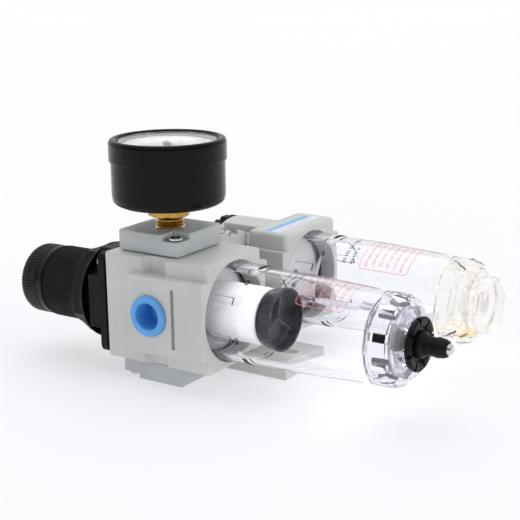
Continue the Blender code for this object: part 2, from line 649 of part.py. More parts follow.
def drain_collar():
    """The black ring inside the guard, with one lug behind each window."""
    outline = [(90.3, 7.6), (90.3, 11.9), (91.7, 11.1), (91.7, 7.6)]
    ring = lathe("drain_collar", outline, (0.0, AXIS_H), "x", 27, "black_plastic")
    lugs = []
    for k in range(WINDOWS):
        angle = math.radians(180.0 - WINDOW_AT - 360.0 * k / WINDOWS)
        lug = box("lug%d" % k, (85.3, -1.45, 10.9), (90.9, 1.45, 12.2))
        spin = Matrix.Rotation(angle - math.pi / 2.0, 4, "X")
        lug.data.transform(Matrix.Translation((0.0, 0.0, AXIS_H * MM)) @ spin)
        lugs.append(lug)
    join(ring, *lugs)
    return place_origin(ring, (90.0, 0.0, AXIS_H))


def drain_parts():
    cup = [(DRAIN_X, 3.6), (DRAIN_X, DRAIN_R), (97.3, DRAIN_R), (97.3, 5.8), (95.9, 5.6), (95.9, 3.6)]
    ring = lathe("drain_ring", cup, (0.0, AXIS_H), "x", 24, "black_plastic")
    tools = []
    for k in range(8):
        notch = box("notch%d" % k, (96.1, -0.7, 5.0), (100.0, 0.7, 10.0))
        spin = Matrix.Rotation(math.radians(45.0 * k + 12.0), 4, "X")
        notch.data.transform(Matrix.Translation((0.0, 0.0, AXIS_H * MM)) @ spin)
        tools.append(notch)
    cut(ring, *tools)
    place_origin(ring, (96.0, 0.0, AXIS_H))
    barb = [(86.4, 1.1), (86.4, 5.2), (88.0, 3.3), (96.3, 3.3), (96.3, 4.4), (97.4, 4.2), (98.0, 3.2),
            (101.6, 2.9), (102.2, 3.3), (104.4, 3.0), (NOZZLE_X, 2.5), (NOZZLE_X, 2.15), (102.8, 2.15),
            (102.8, 1.1)]
    nozzle = lathe("drain_nozzle", barb, (0.0, AXIS_H), "x", 16, "black_plastic")
    place_origin(nozzle, (96.0, 0.0, AXIS_H))
    pin = [(87.5, 0.0), (87.5, 0.8), (104.6, 0.8), (104.6, 1.85), (106.3, 1.85), (107.0, 1.4), (107.2, 0.0)]
    pin_obj = lathe("drain_pin", pin, (0.0, AXIS_H), "x", 16, "steel")
    place_origin(pin_obj, (100.0, 0.0, AXIS_H))


def filter_inside():
    element = [(20.4, 4.6), (20.4, 9.9), (40.9, 9.9), (40.9, 6.0), (22.4, 6.0), (22.4, 4.6)]
    lathe("filter_element", element, (0.0, AXIS_H), "x", 24, "white_plastic")
    disc = [(41.2, 0.0), (41.2, 9.8), (43.0, 10.2), (47.2, 10.9), (47.2, 9.9), (42.8, 9.2), (42.8, 2.2),
            (46.9, 2.2),
            (46.9, 0.0)]
    baffle = lathe("baffle", disc, (0.0, AXIS_H), "x", 20, "black_plastic")
    ribs = []
    for k in range(3):
        rib = box("rib%d" % k, (42.1, -0.6, 1.1), (46.3, 0.6, 9.8))
        spin = Matrix.Rotation(math.radians(120.0 * k + 20.0), 4, "X")
        rib.data.transform(Matrix.Translation((0.0, 0.0, AXIS_H * MM)) @ spin)
        ribs.append(rib)
    return join(baffle, *ribs)


def o_rings():
    lathe("filter_o_ring", torus_outline(21.15, 15.9, 0.8), (0.0, AXIS_H), "x", 18, "rubber")
    lathe("lube_o_ring", torus_outline(21.15, 15.9, 0.8), (PITCH, AXIS_H), "x", 18, "rubber")


# ---------------------------------------------------------------- lubricator top and drain

def lubricator_top():
    y = PITCH
    lobes = ring_teeth(18, 19.2, 17.9)
    cap = prism("lube_cap", lobes, -12.6, LUBE_X0 - GAP, "x", (y, AXIS_H), "black_plastic")
    join(cap, lathe("hub", [(-17.4, 0.0), (-17.4, 12.6), (-16.4, 13.4), (-12.0, 13.4), (-12.0, 0.0)],
                    (y, AXIS_H)))
    cut(cap, rod("cap_bore", -20.0, LUBE_X0 + 1.0, 10.6, y, AXIS_H, 24))
    place_origin(cap, (-11.0, y, AXIS_H))
    dome = [(-3.4, 8.2), (-3.4, 10.2), (-21.0, 10.2), (-24.4, 8.2), (-26.0, 4.6), (-26.0, 2.2), (-24.6, 2.2),
            (-23.4, 6.6), (-20.6, 8.2)]
    glass = lathe("sight_dome", dome, (y, AXIS_H), "x", 20, "clear")
    place_origin(glass, (-14.0, y, AXIS_H))
    head = [(2.6, 0.0), (-1.0, 1.5), (-26.4, 1.5), (-26.4, 5.0), (-30.6, 4.8), (-31.2, 4.2), (-31.2, 0.0)]
    drip = lathe("drip_knob", head, (y, AXIS_H), "x", 20, "black_plastic")
    cut(drip, box("driver_slot", (-32.0, y - 3.4, AXIS_H - 0.5), (-30.2, y + 3.4, AXIS_H + 0.5)))
    place_origin(drip, (-28.0, y, AXIS_H))


def lubricator_inside():
    y = PITCH
    tube = [(14.0, 1.0), (14.0, 1.7), (76.0, 1.7), (76.0, 1.0)]
    lathe("oil_tube", tube, (y, AXIS_H - 7.0), "x", 16, "white_plastic")
    strainer = [(72.0, 2.0), (72.0, 2.9), (79.4, 2.9), (79.4, 0.0), (77.6, 0.0), (77.6, 2.0)]
    lathe("oil_strainer", strainer, (y, AXIS_H - 7.0), "x", 20, "brass")
    stem = [(86.4, 0.0), (86.4, 5.2), (88.0, 3.3), (94.7, 3.3), (94.7, 10.0), (98.4, 10.2), (PLUG_X, 9.6),
            (PLUG_X, 5.4), (97.2, 5.0), (97.2, 0.0)]
    plug = lathe("lube_drain_plug", stem, (y, AXIS_H), "x", 24, "clear")
    place_origin(plug, (97.0, y, AXIS_H))


# ---------------------------------------------------------------- joint between the modules

def module_joint():
    middle = PITCH / 2.0
    spacer = box("spacer", (-7.0, 20.0, AXIS_H - 13.2), (17.0, 30.0, AXIS_H + 13.2), "painted", 0.5, 1)
    tools = [rod_z("screw_hole", AXIS_H + 7.9, AXIS_H + 14.0, 1.6, CLAMP_SCREW_X, middle, 12)]
    tools += [rod_z("under_hole%d" % k, AXIS_H - 14.0, AXIS_H - 8.0, 1.6, x, middle, 12)
              for k, x in enumerate(BRACKET_SCREWS)]
    tools.append(rod_y("air_way", 19.0, 31.0, 4.6, 5.4, AXIS_H, 16))
    for k, y in enumerate((20.0, 30.0)):
        tools.append(rod_y("ring_seat%d" % k, y - 2.1, y + 2.1, 7.5, 5.4, AXIS_H, 20))
    cut(spacer, *tools)
    for k, y in enumerate((21.0, 29.0)):
        lathe("joint_o_ring_%d" % (k + 1), torus_outline(y, 6.3, 0.8), (5.4, AXIS_H), "y", 16, "rubber")
    clamp_front(middle)
    bracket(middle)
    for k, x in enumerate(BRACKET_SCREWS):
        pan_screw("bracket_screw_%d" % (k + 1), x, middle, 3.2 - GAP, -1.0, 14.6, 2.5, 1.6, 1.25)


def clamp_front(middle):
    """The bar that hooks into the notches of both bodies and pulls them together."""
    z = AXIS_H
    half = [(10.8, 13.8), (10.8, 17.2), (7.8, 18.4), (6.5, 19.5), (2.0, 20.8), (0.0, 21.3)]
    outline = [(middle - t, z + h) for t, h in half] + [(middle + t, z + h) for t, h in half[-2::-1]]
    bar = prism("clamp_front", outline, CLAMP_X0, CLAMP_X1, "x", (0.0, 0.0), "painted")
    tools = [rod_z("clamp_hole", z + 12.0, z + 25.0, 1.6, CLAMP_SCREW_X, middle, 12),
             rod_z("clamp_scoop", z + 18.7, z + 25.0, 4.5, CLAMP_SCREW_X, middle, 24)]
    for k, side in enumerate((-1.0, 1.0)):
        for n, (x, away) in enumerate(((CLAMP_X0, -1.0), (CLAMP_X1, 1.0))):
            edge = [(x + away, side * 9.2), (x, side * 9.2), (x - away * 1.6, side * 11.4),
                    (x + away, side * 11.4)]
            tools.append(prism("taper%d%d" % (k, n), edge, z + 13.0, z + 22.0, "z", (0.0, middle)))
    cut(bar, *tools)
    pan_screw("clamp_screw", CLAMP_SCREW_X, middle, z + 18.7 + GAP, 1.0, 10.6, 2.3, 1.6, 1.25)


def bracket(middle):
    """The rear mounting bracket: a plate with two ears and a block that meets the spacer."""
    ear = 12.8
    waist = 11.6
    outline = [(BRACKET_X0, middle - ear), (-14.0, middle - ear), (-13.2, middle - waist),
               (13.6, middle - waist),
               (14.4, middle - ear), (BRACKET_X1, middle - ear), (BRACKET_X1, middle + ear),
               (14.4, middle + ear),
               (13.6, middle + waist), (-13.2, middle + waist), (-14.0, middle + ear),
               (BRACKET_X0, middle + ear)]
    plate = prism("bracket", outline, 0.0, BRACKET_T, "z", (0.0, 0.0), "painted")
    riser = box("riser", (-7.0, middle - 4.9, 1.0), (17.0, middle + 4.9, AXIS_H - 13.5))
    join(plate, riser)
    tools = []
    for k, x in enumerate(BRACKET_SCREWS):
        tools.append(rod_z("under_bore%d" % k, 2.0, AXIS_H - 12.0, 1.6, x, middle, 12))
        tools.append(rod_z("under_head%d" % k, -1.0, 3.2, 3.2, x, middle, 20))
    for k, x in enumerate((-21.4, 31.4)):
        slot = rounded_rectangle(4.5, 2.75, 2.7)
        tools.append(prism("ear_slot%d" % k, slot, -1.0, BRACKET_T + 1.0, "z", (x, middle)))
    return cut(plate, *tools)


# ---------------------------------------------------------------- whole object

def build():
    clear_scene()
    filter_body()
    blocks()
    bonnet()
    panel_nut()
    knob()
    valve_parts()
    gauge()
    port_plug("inlet_plug", 0.0, -1.0)
    port_plug("outlet_plug", PITCH, 1.0)
    bowl("filter_bowl", 0.0)
    guard_ring("filter_guard_ring", 0.0, True)
    drain_collar()
    drain_parts()
    filter_inside()
    o_rings()
    lubricator_body()
    lubricator_top()
    bowl("lube_bowl", PITCH)
    guard_ring("lube_guard_ring", PITCH, False)
    lubricator_inside()
    module_joint()


build()
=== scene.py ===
"""Looks of the filter regulator lubricator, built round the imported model."""

import json
import math
import random

import bmesh
import bpy
from mathutils import Matrix, Vector


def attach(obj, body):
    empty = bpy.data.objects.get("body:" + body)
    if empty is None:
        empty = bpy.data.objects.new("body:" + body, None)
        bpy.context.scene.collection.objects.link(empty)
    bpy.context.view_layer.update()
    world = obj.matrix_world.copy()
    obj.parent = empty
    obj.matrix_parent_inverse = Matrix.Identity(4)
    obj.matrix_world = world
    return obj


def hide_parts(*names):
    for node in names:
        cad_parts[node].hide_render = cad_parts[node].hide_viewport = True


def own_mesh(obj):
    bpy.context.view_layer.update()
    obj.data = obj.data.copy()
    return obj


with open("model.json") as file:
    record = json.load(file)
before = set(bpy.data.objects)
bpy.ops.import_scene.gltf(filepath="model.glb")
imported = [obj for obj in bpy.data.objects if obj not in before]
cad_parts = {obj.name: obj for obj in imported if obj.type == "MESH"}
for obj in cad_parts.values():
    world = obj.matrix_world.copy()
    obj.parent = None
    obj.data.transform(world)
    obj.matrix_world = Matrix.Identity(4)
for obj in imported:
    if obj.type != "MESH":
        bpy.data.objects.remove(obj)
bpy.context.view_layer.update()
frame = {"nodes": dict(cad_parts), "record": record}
NODES = frame["nodes"]
BODY_OF = {node: body for body, nodes in frame["record"]["behaviour"]["bodies"].items() for node in nodes}

MM = 0.001
H = 26.6          # height of both bowl axes
PITCH = 50.0      # second bowl axis
PORT_X = 5.0

scene = bpy.context.scene
scene.view_settings.view_transform = "Standard"


# ---------------------------------------------------------------- mesh helpers

def add_piece(name, bm, material, angle=35.0):
    bmesh.ops.remove_doubles(bm, verts=bm.verts[:], dist=1e-7)
    bmesh.ops.recalc_face_normals(bm, faces=bm.faces[:])
    mesh = bpy.data.meshes.new(name)
    bm.to_mesh(mesh)
    bm.free()
    obj = bpy.data.objects.new(name, mesh)
    scene.collection.objects.link(obj)
    mesh.materials.append(material)
    return settle(obj, angle)


def settle(obj, angle=35.0):
    """Smooth shading with crisp creases, flat faces kept flat beside their rounded edges."""
    obj.data.shade_smooth()
    obj.data.set_sharp_from_angle(angle=math.radians(angle))
    weighted = obj.modifiers.new("normals", "WEIGHTED_NORMAL")
    weighted.keep_sharp = True
    apply_modifiers(obj)
    return obj


def frame_point(axis, centre, station, a, b):
    """A point station millimetres along axis; a and b run across it."""
    p, q = centre
    if axis == "x":
        return Vector((station, p + a, q + b)) * MM
    if axis == "y":
        return Vector((p + a, station, q + b)) * MM
    return Vector((p + a, q + b, station)) * MM


SHARPEST = math.radians(4.0)
STRAIGHTEST = math.radians(172.0)


def rounded(points, radius=0.3, steps=3, closed=True):
    """The outline with each corner replaced by a short arc."""
    out = []
    n = len(points)
    for i, point in enumerate(points):
        here = Vector(point[:2])
        r = point[2] if len(point) > 2 else radius
        on_axis = here.y < 1e-6
        if not closed and i in (0, n - 1) or on_axis or r <= 0.0:
            out.append((here.x, here.y))
            continue
        before = Vector(points[i - 1][:2]) - here
        after = Vector(points[(i + 1) % n][:2]) - here
        if before.length < 1e-6 or after.length < 1e-6:
            out.append((here.x, here.y))
            continue
        angle = before.angle(after)
        if not SHARPEST < angle < STRAIGHTEST:
            out.append((here.x, here.y))
            continue
        reach = min(r / math.tan(angle / 2.0), 0.45 * before.length, 0.45 * after.length)
        start = here + before.normalized() * reach
        end = here + after.normalized() * reach
        for k in range(steps + 1):
            t = k / steps
            point_k = start.lerp(here, t).lerp(here.lerp(end, t), t)
            out.append((point_k.x, point_k.y))
    return out


def lathe(name, outline, material, axis="x", centre=(0.0, H), steps=96, sweep=(0.0, 360.0), fillet=0.25,
          wobble=None, angle=35.0):
    """Turns a closed outline of (station, radius) points.

    wobble(turn, station, radius) gives the radius that a point gets at that turn.
    """
    points = rounded(outline, fillet)
    whole = abs(sweep[1] - sweep[0] - 360.0) < 1e-6
    count = steps if whole else steps + 1
    bm = bmesh.new()
    rings = []
    for station, radius in points:
        if radius < 1e-6:
            rings.append([bm.verts.new(frame_point(axis, centre, station, 0.0, 0.0))])
            continue
        ring = []
        for i in range(count):
            turn = math.radians(sweep[0] + (sweep[1] - sweep[0]) * i / steps)
            r = wobble(turn, station, radius) if wobble else radius
            ring.append(bm.verts.new(frame_point(axis, centre, station, r * math.cos(turn),
                                                 r * math.sin(turn))))
        rings.append(ring)
    for k in range(len(rings)):
        a, b = rings[k], rings[(k + 1) % len(rings)]
        if len(a) == 1 and len(b) == 1:
            continue
        for i in range(steps):
            j = (i + 1) % count
            if len(a) == 1:
                bm.faces.new((a[0], b[i], b[j]))
            elif len(b) == 1:
                bm.faces.new((a[i], a[j], b[0]))
            else:
                bm.faces.new((a[i], a[j], b[j], b[i]))
    if not whole:
        for i in (0, count - 1):
            bm.faces.new([ring[i if len(ring) > 1 else 0] for ring in rings])
    return add_piece(name, bm, material, angle)


def prism(name, outline, low, high, material, axis="x", centre=(0.0, H), soft=0.3, segments=3):
    bm = bmesh.new()
    lower = [bm.verts.new(frame_point(axis, centre, low, a, b)) for a, b in outline]
    upper = [bm.verts.new(frame_point(axis, centre, high, a, b)) for a, b in outline]
    bm.faces.new(lower)
    bm.faces.new(upper[::-1])
    for i in range(len(outline)):
        j = (i + 1) % len(outline)
        bm.faces.new((lower[i], lower[j], upper[j], upper[i]))
    bmesh.ops.recalc_face_normals(bm, faces=bm.faces[:])
    if soft:
        edges = [e for e in bm.edges if e.calc_face_angle(0.0) > math.radians(25.0)]
        bmesh.ops.bevel(bm, geom=edges, offset=soft * MM, segments=segments, affect="EDGES", profile=0.5)
    return add_piece(name, bm, material, 40.0)


def box(name, low, high, material, soft=0.0, segments=2):
    outline = [(low[0], low[1]), (high[0], low[1]), (high[0], high[1]), (low[0], high[1])]
    return prism(name, outline, low[2], high[2], material, "z", (0.0, 0.0), soft, segments)


def boolean(target, operation, *tools):
    """Cuts or joins every tool at once and applies the result."""
    folder = bpy.data.collections.new("tools")
    scene.collection.children.link(folder)
    for tool in tools:
        scene.collection.objects.unlink(tool)
        folder.objects.link(tool)
    change = target.modifiers.new("shape", "BOOLEAN")
    change.operation = operation
    change.operand_type = "COLLECTION"
    change.collection = folder
    change.solver = "EXACT"
    apply_modifiers(target)
    for tool in tools:
        bpy.data.objects.remove(tool)
    bpy.data.collections.remove(folder)
    return settle(target)


def apply_modifiers(obj):
    bpy.context.view_layer.update()
    graph = bpy.context.evaluated_depsgraph_get()
    mesh = bpy.data.meshes.new_from_object(obj.evaluated_get(graph), preserve_all_data_layers=True,
                                           depsgraph=graph)
    obj.modifiers.clear()
    obj.data = mesh
    return obj


def merge(name, *objects):
    """Puts several meshes into one object, each keeping its material."""
    first = objects[0]
    with bpy.context.temp_override(active_object=first, selected_editable_objects=list(objects)):
        bpy.ops.object.join()
    first.name = name
    return first


def place(obj, slot, *nodes, body=None):
    """Rides the piece on its node's body and hides the nodes that it stands for."""
    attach(obj, body or BODY_OF[nodes[0]])
    if nodes:
        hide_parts(*nodes)
    return obj


# ---------------------------------------------------------------- materials

# painted shade: the colour given to the inside of the two bowl sockets
BORE_R = 17.85
BORE_START = 7.5
BORE_END = 26.3
BORE_SHADE = (0.50, 0.50, 0.505)


class Tree:
    """A small wrapper that makes nodes and links them."""

    def __init__(self, name):
        self.material = bpy.data.materials.new(name)
        self.material.use_nodes = True
        self.nodes = self.material.node_tree.nodes
        self.links = self.material.node_tree.links
        self.shader = self.nodes["Principled BSDF"]
        self.out = self.nodes["Material Output"]
        self.coords = self.nodes.new("ShaderNodeTexCoord").outputs["Object"]

    def add(self, kind, **settings):
        node = self.nodes.new(kind)
        for key, value in settings.items():
            setattr(node, key, value)
        return node

    def noise(self, scale, detail=3.0, rough=0.5, stretch=None):
        node = self.add("ShaderNodeTexNoise")
        node.inputs["Scale"].default_value = scale
        node.inputs["Detail"].default_value = detail
        node.inputs["Roughness"].default_value = rough
        source = self.coords
        if stretch:
            mapping = self.add("ShaderNodeMapping")
            mapping.inputs["Scale"].default_value = stretch
            self.links.new(self.coords, mapping.inputs["Vector"])
            source = mapping.outputs["Vector"]
        self.links.new(source, node.inputs["Vector"])
        return node.outputs["Fac"]

    def ramp(self, source, stops):
        node = self.add("ShaderNodeValToRGB")
        while len(node.color_ramp.elements) < len(stops):
            node.color_ramp.elements.new(0.5)
        for element, (position, value) in zip(node.color_ramp.elements, stops):
            element.position = position
            element.color = (value, value, value, 1.0) if isinstance(value, float) else (*value, 1.0)
        self.links.new(source, node.inputs["Fac"])
        return node.outputs["Color"]

    def spread(self, source, low, high):
        node = self.add("ShaderNodeMapRange")
        node.inputs["From Min"].default_value = 0.3
        node.inputs["From Max"].default_value = 0.7
        node.inputs["To Min"].default_value = low
        node.inputs["To Max"].default_value = high
        self.links.new(source, node.inputs["Value"])
        return node.outputs["Result"]

    def mix(self, factor, a, b):
        node = self.add("ShaderNodeMix", data_type="RGBA")
        ends = [s for s in node.inputs if s.type == "RGBA"]
        self.links.new(factor, [s for s in node.inputs if s.type == "VALUE"][0])
        for socket, value in zip(ends, (a, b)):
            if isinstance(value, tuple):
                socket.default_value = (*value, 1.0)
            else:
                self.links.new(value, socket)
        return [s for s in node.outputs if s.type == "RGBA"][0]

    def bump(self, height, distance, strength=1.0, edge=0.0):
        """Fine relief from a height, over edges that look rounded by edge metres."""
        node = self.add("ShaderNodeBump")
        node.inputs["Strength"].default_value = strength
        node.inputs["Distance"].default_value = distance
        self.links.new(height, node.inputs["Height"])
        if edge:
            bevel = self.add("ShaderNodeBevel", samples=4)
            bevel.inputs["Radius"].default_value = edge
            self.links.new(bevel.outputs["Normal"], node.inputs["Normal"])
        self.links.new(node.outputs["Normal"], self.shader.inputs["Normal"])

    def math(self, operation, a, b=None):
        node = self.add("ShaderNodeMath", operation=operation)
        for socket, value in zip(node.inputs, (a, b)):
            if isinstance(value, (int, float)):
                socket.default_value = value
            elif value is not None:
                self.links.new(value, socket)
        return node.outputs[0]

    def edges(self, radius):
        """Near 1 on flat ground, less where the surface turns within radius of an edge."""
        bevel = self.add("ShaderNodeBevel", samples=4)
        bevel.inputs["Radius"].default_value = radius
        dot = self.add("ShaderNodeVectorMath", operation="DOT_PRODUCT")
        self.links.new(bevel.outputs["Normal"], dot.inputs[0])
        self.links.new(self.add("ShaderNodeNewGeometry").outputs["True Normal"], dot.inputs[1])
        return dot.outputs["Value"]

    def inside_bores(self):
        """1 inside the two bowl sockets, 0 elsewhere."""
        split = self.add("ShaderNodeSeparateXYZ")
        self.links.new(self.coords, split.inputs[0])
        x, y, z = split.outputs
        across = self.math("MINIMUM", self.math("ABSOLUTE", y),
                           self.math("ABSOLUTE", self.math("SUBTRACT", y, PITCH * MM)))
        height = self.math("SUBTRACT", z, H * MM)
        reach = self.math("ADD", self.math("POWER", across, 2.0), self.math("POWER", height, 2.0))
        near = self.math("LESS_THAN", reach, (BORE_R * MM) ** 2)
        deep = self.math("MULTIPLY", self.math("GREATER_THAN", x, BORE_START * MM),
                         self.math("LESS_THAN", x, BORE_END * MM))
        return self.math("MULTIPLY", near, deep)

    def colour(self, socket):
        self.links.new(socket, self.shader.inputs["Base Color"])

    def roughness(self, socket):
        self.links.new(socket, self.shader.inputs["Roughness"])

    def set(self, **values):
        for key, value in values.items():
            self.shader.inputs[key.replace("_", " ")].default_value = value


def cast_paint(name, base, rough=0.42):
    """Baked paint on a casting: faint clouding, dust specks and scuffs, a painted highlight along the edges
    and painted shade inside the bowl sockets.
    """
    t = Tree(name)
    dark = tuple(c * 0.93 for c in base)
    light = tuple(min(1.0, c * 1.05) for c in base)
    cloud = t.mix(t.spread(t.noise(55.0, 4.0), 0.0, 1.0), dark, light)
    speck = t.ramp(t.noise(900.0, 2.0, 0.6), ((0.0, 1.0), (0.27, 1.0), (0.31, 0.0)))
    specked = t.mix(speck, cloud, tuple(c * 0.74 for c in base))
    scuff = t.ramp(t.noise(130.0, 6.0, 0.75, (1.0, 4.0, 0.6)), ((0.0, 0.0), (0.68, 0.0), (0.74, 0.35)))
    scuffed = t.mix(scuff, specked, tuple(c * 0.72 for c in base))
    # painted highlight: the paint is lighter along the edges, where the surface turns
    edge_highlighted = t.mix(t.ramp(t.edges(0.0005), ((0.0, 0.5), (0.90, 0.3), (0.985, 0.0))), scuffed,
                    tuple(min(1.0, c * 1.25) for c in base))
    # painted shade inside the bowl sockets
    t.colour(t.mix(t.inside_bores(), edge_highlighted, BORE_SHADE))
    t.roughness(t.spread(t.noise(240.0, 4.0), rough - 0.07, rough + 0.09))
    fine = t.noise(1500.0, 3.0)
    t.bump(fine, 0.00002, 0.5, 0.0004)
    t.set(Coat_Weight=0.08, Coat_Roughness=0.3, Specular_IOR_Level=0.45)
    return t.material


def moulded(name, base, rough=0.4, spread=0.08, specular=0.5, grain=900.0, depth=0.00002, edge=0.0003,
            dust=0.0):
    """Moulded plastic or enamel, with clouded gloss, fine grain and some dust."""
    t = Tree(name)
    a = tuple(c * 0.9 for c in base)
    b = tuple(min(1.0, c * 1.12) for c in base)
    colour = t.mix(t.spread(t.noise(140.0, 3.0), 0.0, 1.0), a, b)
    if dust:
        dots = t.ramp(t.noise(1600.0, 2.0, 0.7), ((0.0, 0.0), (0.68, 0.0), (0.74, dust)))
        colour = t.mix(dots, colour, (0.35, 0.35, 0.36))
    t.colour(colour)
    t.roughness(t.spread(t.noise(300.0, 4.0), max(0.03, rough - spread), rough + spread))
    t.bump(t.noise(grain, 3.0), depth, 0.6, edge)
    t.set(Specular_IOR_Level=specular)
    return t.material


def metal(name, base, rough, spread=0.08, tint=None):
    """Bare metal, clouded between the base colour and a darker tint."""
    t = Tree(name)
    a = tint or tuple(c * 0.8 for c in base)
    t.colour(t.mix(t.spread(t.noise(500.0, 4.0, 0.6), 0.0, 1.0), a, base))
    t.roughness(t.spread(t.noise(700.0, 4.0, 0.5), max(0.04, rough - spread), rough + spread))
    t.bump(t.noise(1800.0, 2.0, 0.5), 0.00001, 0.6, 0.0002)
    t.set(Metallic=1.0)
    return t.material


def clear(name, tint, rough, ior, shade, second=None, passing=1.0):
    """Clear moulded plastic: refracts what is behind it and lets lamps through to what is inside.

    The shade is what a shadow ray keeps, and passing is the share of light that goes through.
    """
    t = Tree(name)
    cloud = t.spread(t.noise(90.0, 3.0), 0.0, 1.0)
    t.colour(t.mix(cloud, tint, second or tuple(c * 0.985 for c in tint)))
    t.roughness(t.spread(t.noise(180.0, 4.0), rough, rough + 0.03))
    t.bump(t.noise(85.0, 2.0), 0.0002, 0.12)
    t.set(Transmission_Weight=passing, IOR=ior)
    see = t.add("ShaderNodeBsdfTransparent")
    see.inputs["Color"].default_value = (*shade, 1.0)
    path = t.add("ShaderNodeLightPath")
    blend = t.add("ShaderNodeMixShader")
    t.links.new(path.outputs["Is Shadow Ray"], blend.inputs["Fac"])
    t.links.new(t.shader.outputs["BSDF"], blend.inputs[1])
    t.links.new(see.outputs["BSDF"], blend.inputs[2])
    t.links.new(blend.outputs["Shader"], t.out.inputs["Surface"])
    return t.material


def ink(name, colour):
    t = Tree(name)
    t.colour(t.mix(t.spread(t.noise(1200.0, 3.0), 0.0, 1.0), colour,
                   tuple(min(1.0, c * 1.2 + 0.05) for c in colour)))
    t.roughness(t.spread(t.noise(500.0), 0.45, 0.65))
    return t.material


GREY = cast_paint("grey_casting", (0.55, 0.565, 0.54))
BLUE_GREY = cast_paint("blue_grey_casting", (0.45, 0.475, 0.485), 0.40)
LIGHT_GREY = cast_paint("light_grey_bar", (0.59, 0.59, 0.56), 0.38)
BLACK = moulded("black_nylon", (0.006, 0.006, 0.0065), specular=0.16, grain=1100.0, depth=0.00003,
                dust=0.06)
BLACK_GLOSS = moulded("black_gloss_nylon", (0.005, 0.005, 0.006), rough=0.27, spread=0.05, specular=0.22,
                      depth=0.00001, dust=0.03)
ENAMEL = moulded("gauge_enamel", (0.0015, 0.0015, 0.002), rough=0.15, spread=0.03, specular=0.16,
                 grain=260.0, depth=0.000005)
BLUE = moulded("blue_polyethylene", (0.095, 0.36, 0.76), rough=0.34, spread=0.06, specular=0.45,
               grain=700.0)
WHITE = moulded("white_filter", (0.84, 0.845, 0.86), rough=0.55, specular=0.35, grain=1500.0, depth=0.00004,
                edge=0.0)
RUBBER = moulded("nitrile_rubber", (0.02, 0.02, 0.02), rough=0.55, specular=0.4)
SMOKE = moulded("dark_baffle", (0.012, 0.013, 0.017), rough=0.26, spread=0.05, specular=0.35, grain=700.0,
                depth=0.00001, edge=0.0002)
RIB_GREY = moulded("baffle_ribs", (0.10, 0.105, 0.12), rough=0.3, spread=0.06, specular=0.4, grain=700.0,
                   depth=0.00001, edge=0.0002)
DIAL = moulded("dial_enamel", (0.90, 0.91, 0.95), rough=0.45, spread=0.05, specular=0.4, grain=1200.0,
               depth=0.00001, edge=0.0)
BRASS = metal("turned_brass", (0.58, 0.36, 0.10), rough=0.20, spread=0.07, tint=(0.44, 0.25, 0.05))
CHROME = metal("bright_screw", (0.80, 0.79, 0.77), rough=0.25, spread=0.06)
PLATED = metal("plated_brass", (0.90, 0.89, 0.87), rough=0.5, tint=(0.82, 0.81, 0.79))
ZINC = metal("zinc_steel", (0.62, 0.62, 0.60), rough=0.32)
WIRE = metal("spring_wire", (0.50, 0.50, 0.50), rough=0.28, spread=0.06)
CLEAR = clear("clear_polycarbonate", (0.985, 0.988, 1.0), rough=0.01, ior=1.2, shade=(0.95, 0.955, 0.97))
CLEAR_END = clear("clear_end_ring", (0.91, 0.91, 0.95), rough=0.07, ior=1.16, shade=(0.94, 0.945, 0.96),
                  passing=0.94)
CLEAR_OIL = clear("clear_oily", (0.965, 0.955, 0.93), rough=0.05, ior=1.15, shade=(0.95, 0.94, 0.91),
                  second=(0.97, 0.945, 0.88), passing=0.98)
MILKY = clear("milky_plug", (0.92, 0.905, 0.895), rough=0.15, ior=1.16, shade=(0.95, 0.945, 0.93),
              second=(0.90, 0.885, 0.87), passing=0.86)
LENS = clear("gauge_glass", (0.99, 0.99, 1.0), rough=0.01, ior=1.45, shade=(0.98, 0.98, 0.99))
OIL = clear("amber_oil", (0.99, 0.86, 0.55), rough=0.03, ior=1.2, shade=(0.98, 0.90, 0.68),
            second=(0.97, 0.79, 0.42), passing=0.95)
RED_INK = ink("red_ink", (0.86, 0.20, 0.23))
BLACK_INK = ink("black_ink", (0.03, 0.03, 0.035))
DIAL_INK = ink("dial_ink", (0.16, 0.16, 0.17))
BLUE_INK = ink("blue_band", (0.14, 0.38, 0.68))
WHITE_INK = ink("white_band", (0.62, 0.64, 0.68))
SHADE_INK = ink("ridge_shade", (0.06, 0.06, 0.07))
DASH_INK = ink("faint_dashes", (0.42, 0.44, 0.50))
RIDGE_HIGHLIGHT_GREY = clear("ridge_highlight_plastic", (0.80, 0.81, 0.84), rough=0.12, ior=1.2, shade=(0.85, 0.86, 0.88),
                  passing=0.45)


# ---------------------------------------------------------------- CAD nodes that keep their shape

CREASE = math.radians(32.0)


def dress(node, material, soft):
    """A node keeps its solid, with rounded edges and a detailed material."""
    obj = NODES[node]
    obj.data.materials.clear()
    obj.data.materials.append(material)
    if "custom_normal" in obj.data.attributes:
        obj.data.attributes.remove(obj.data.attributes["custom_normal"])
    obj.data.shade_smooth()
    weld = obj.modifiers.new("weld", "WELD")
    weld.merge_threshold = 0.000004
    if soft:
        flat = obj.modifiers.new("flat", "DECIMATE")
        flat.decimate_type = "DISSOLVE"
        flat.angle_limit = math.radians(1.5)
        edge = obj.modifiers.new("edge", "BEVEL")
        edge.width = soft * MM
        edge.segments = 3
        edge.limit_method = "ANGLE"
        edge.angle_limit = CREASE
        edge.use_clamp_overlap = True
        edge.harden_normals = True
    obj.data.set_sharp_from_angle(angle=CREASE)


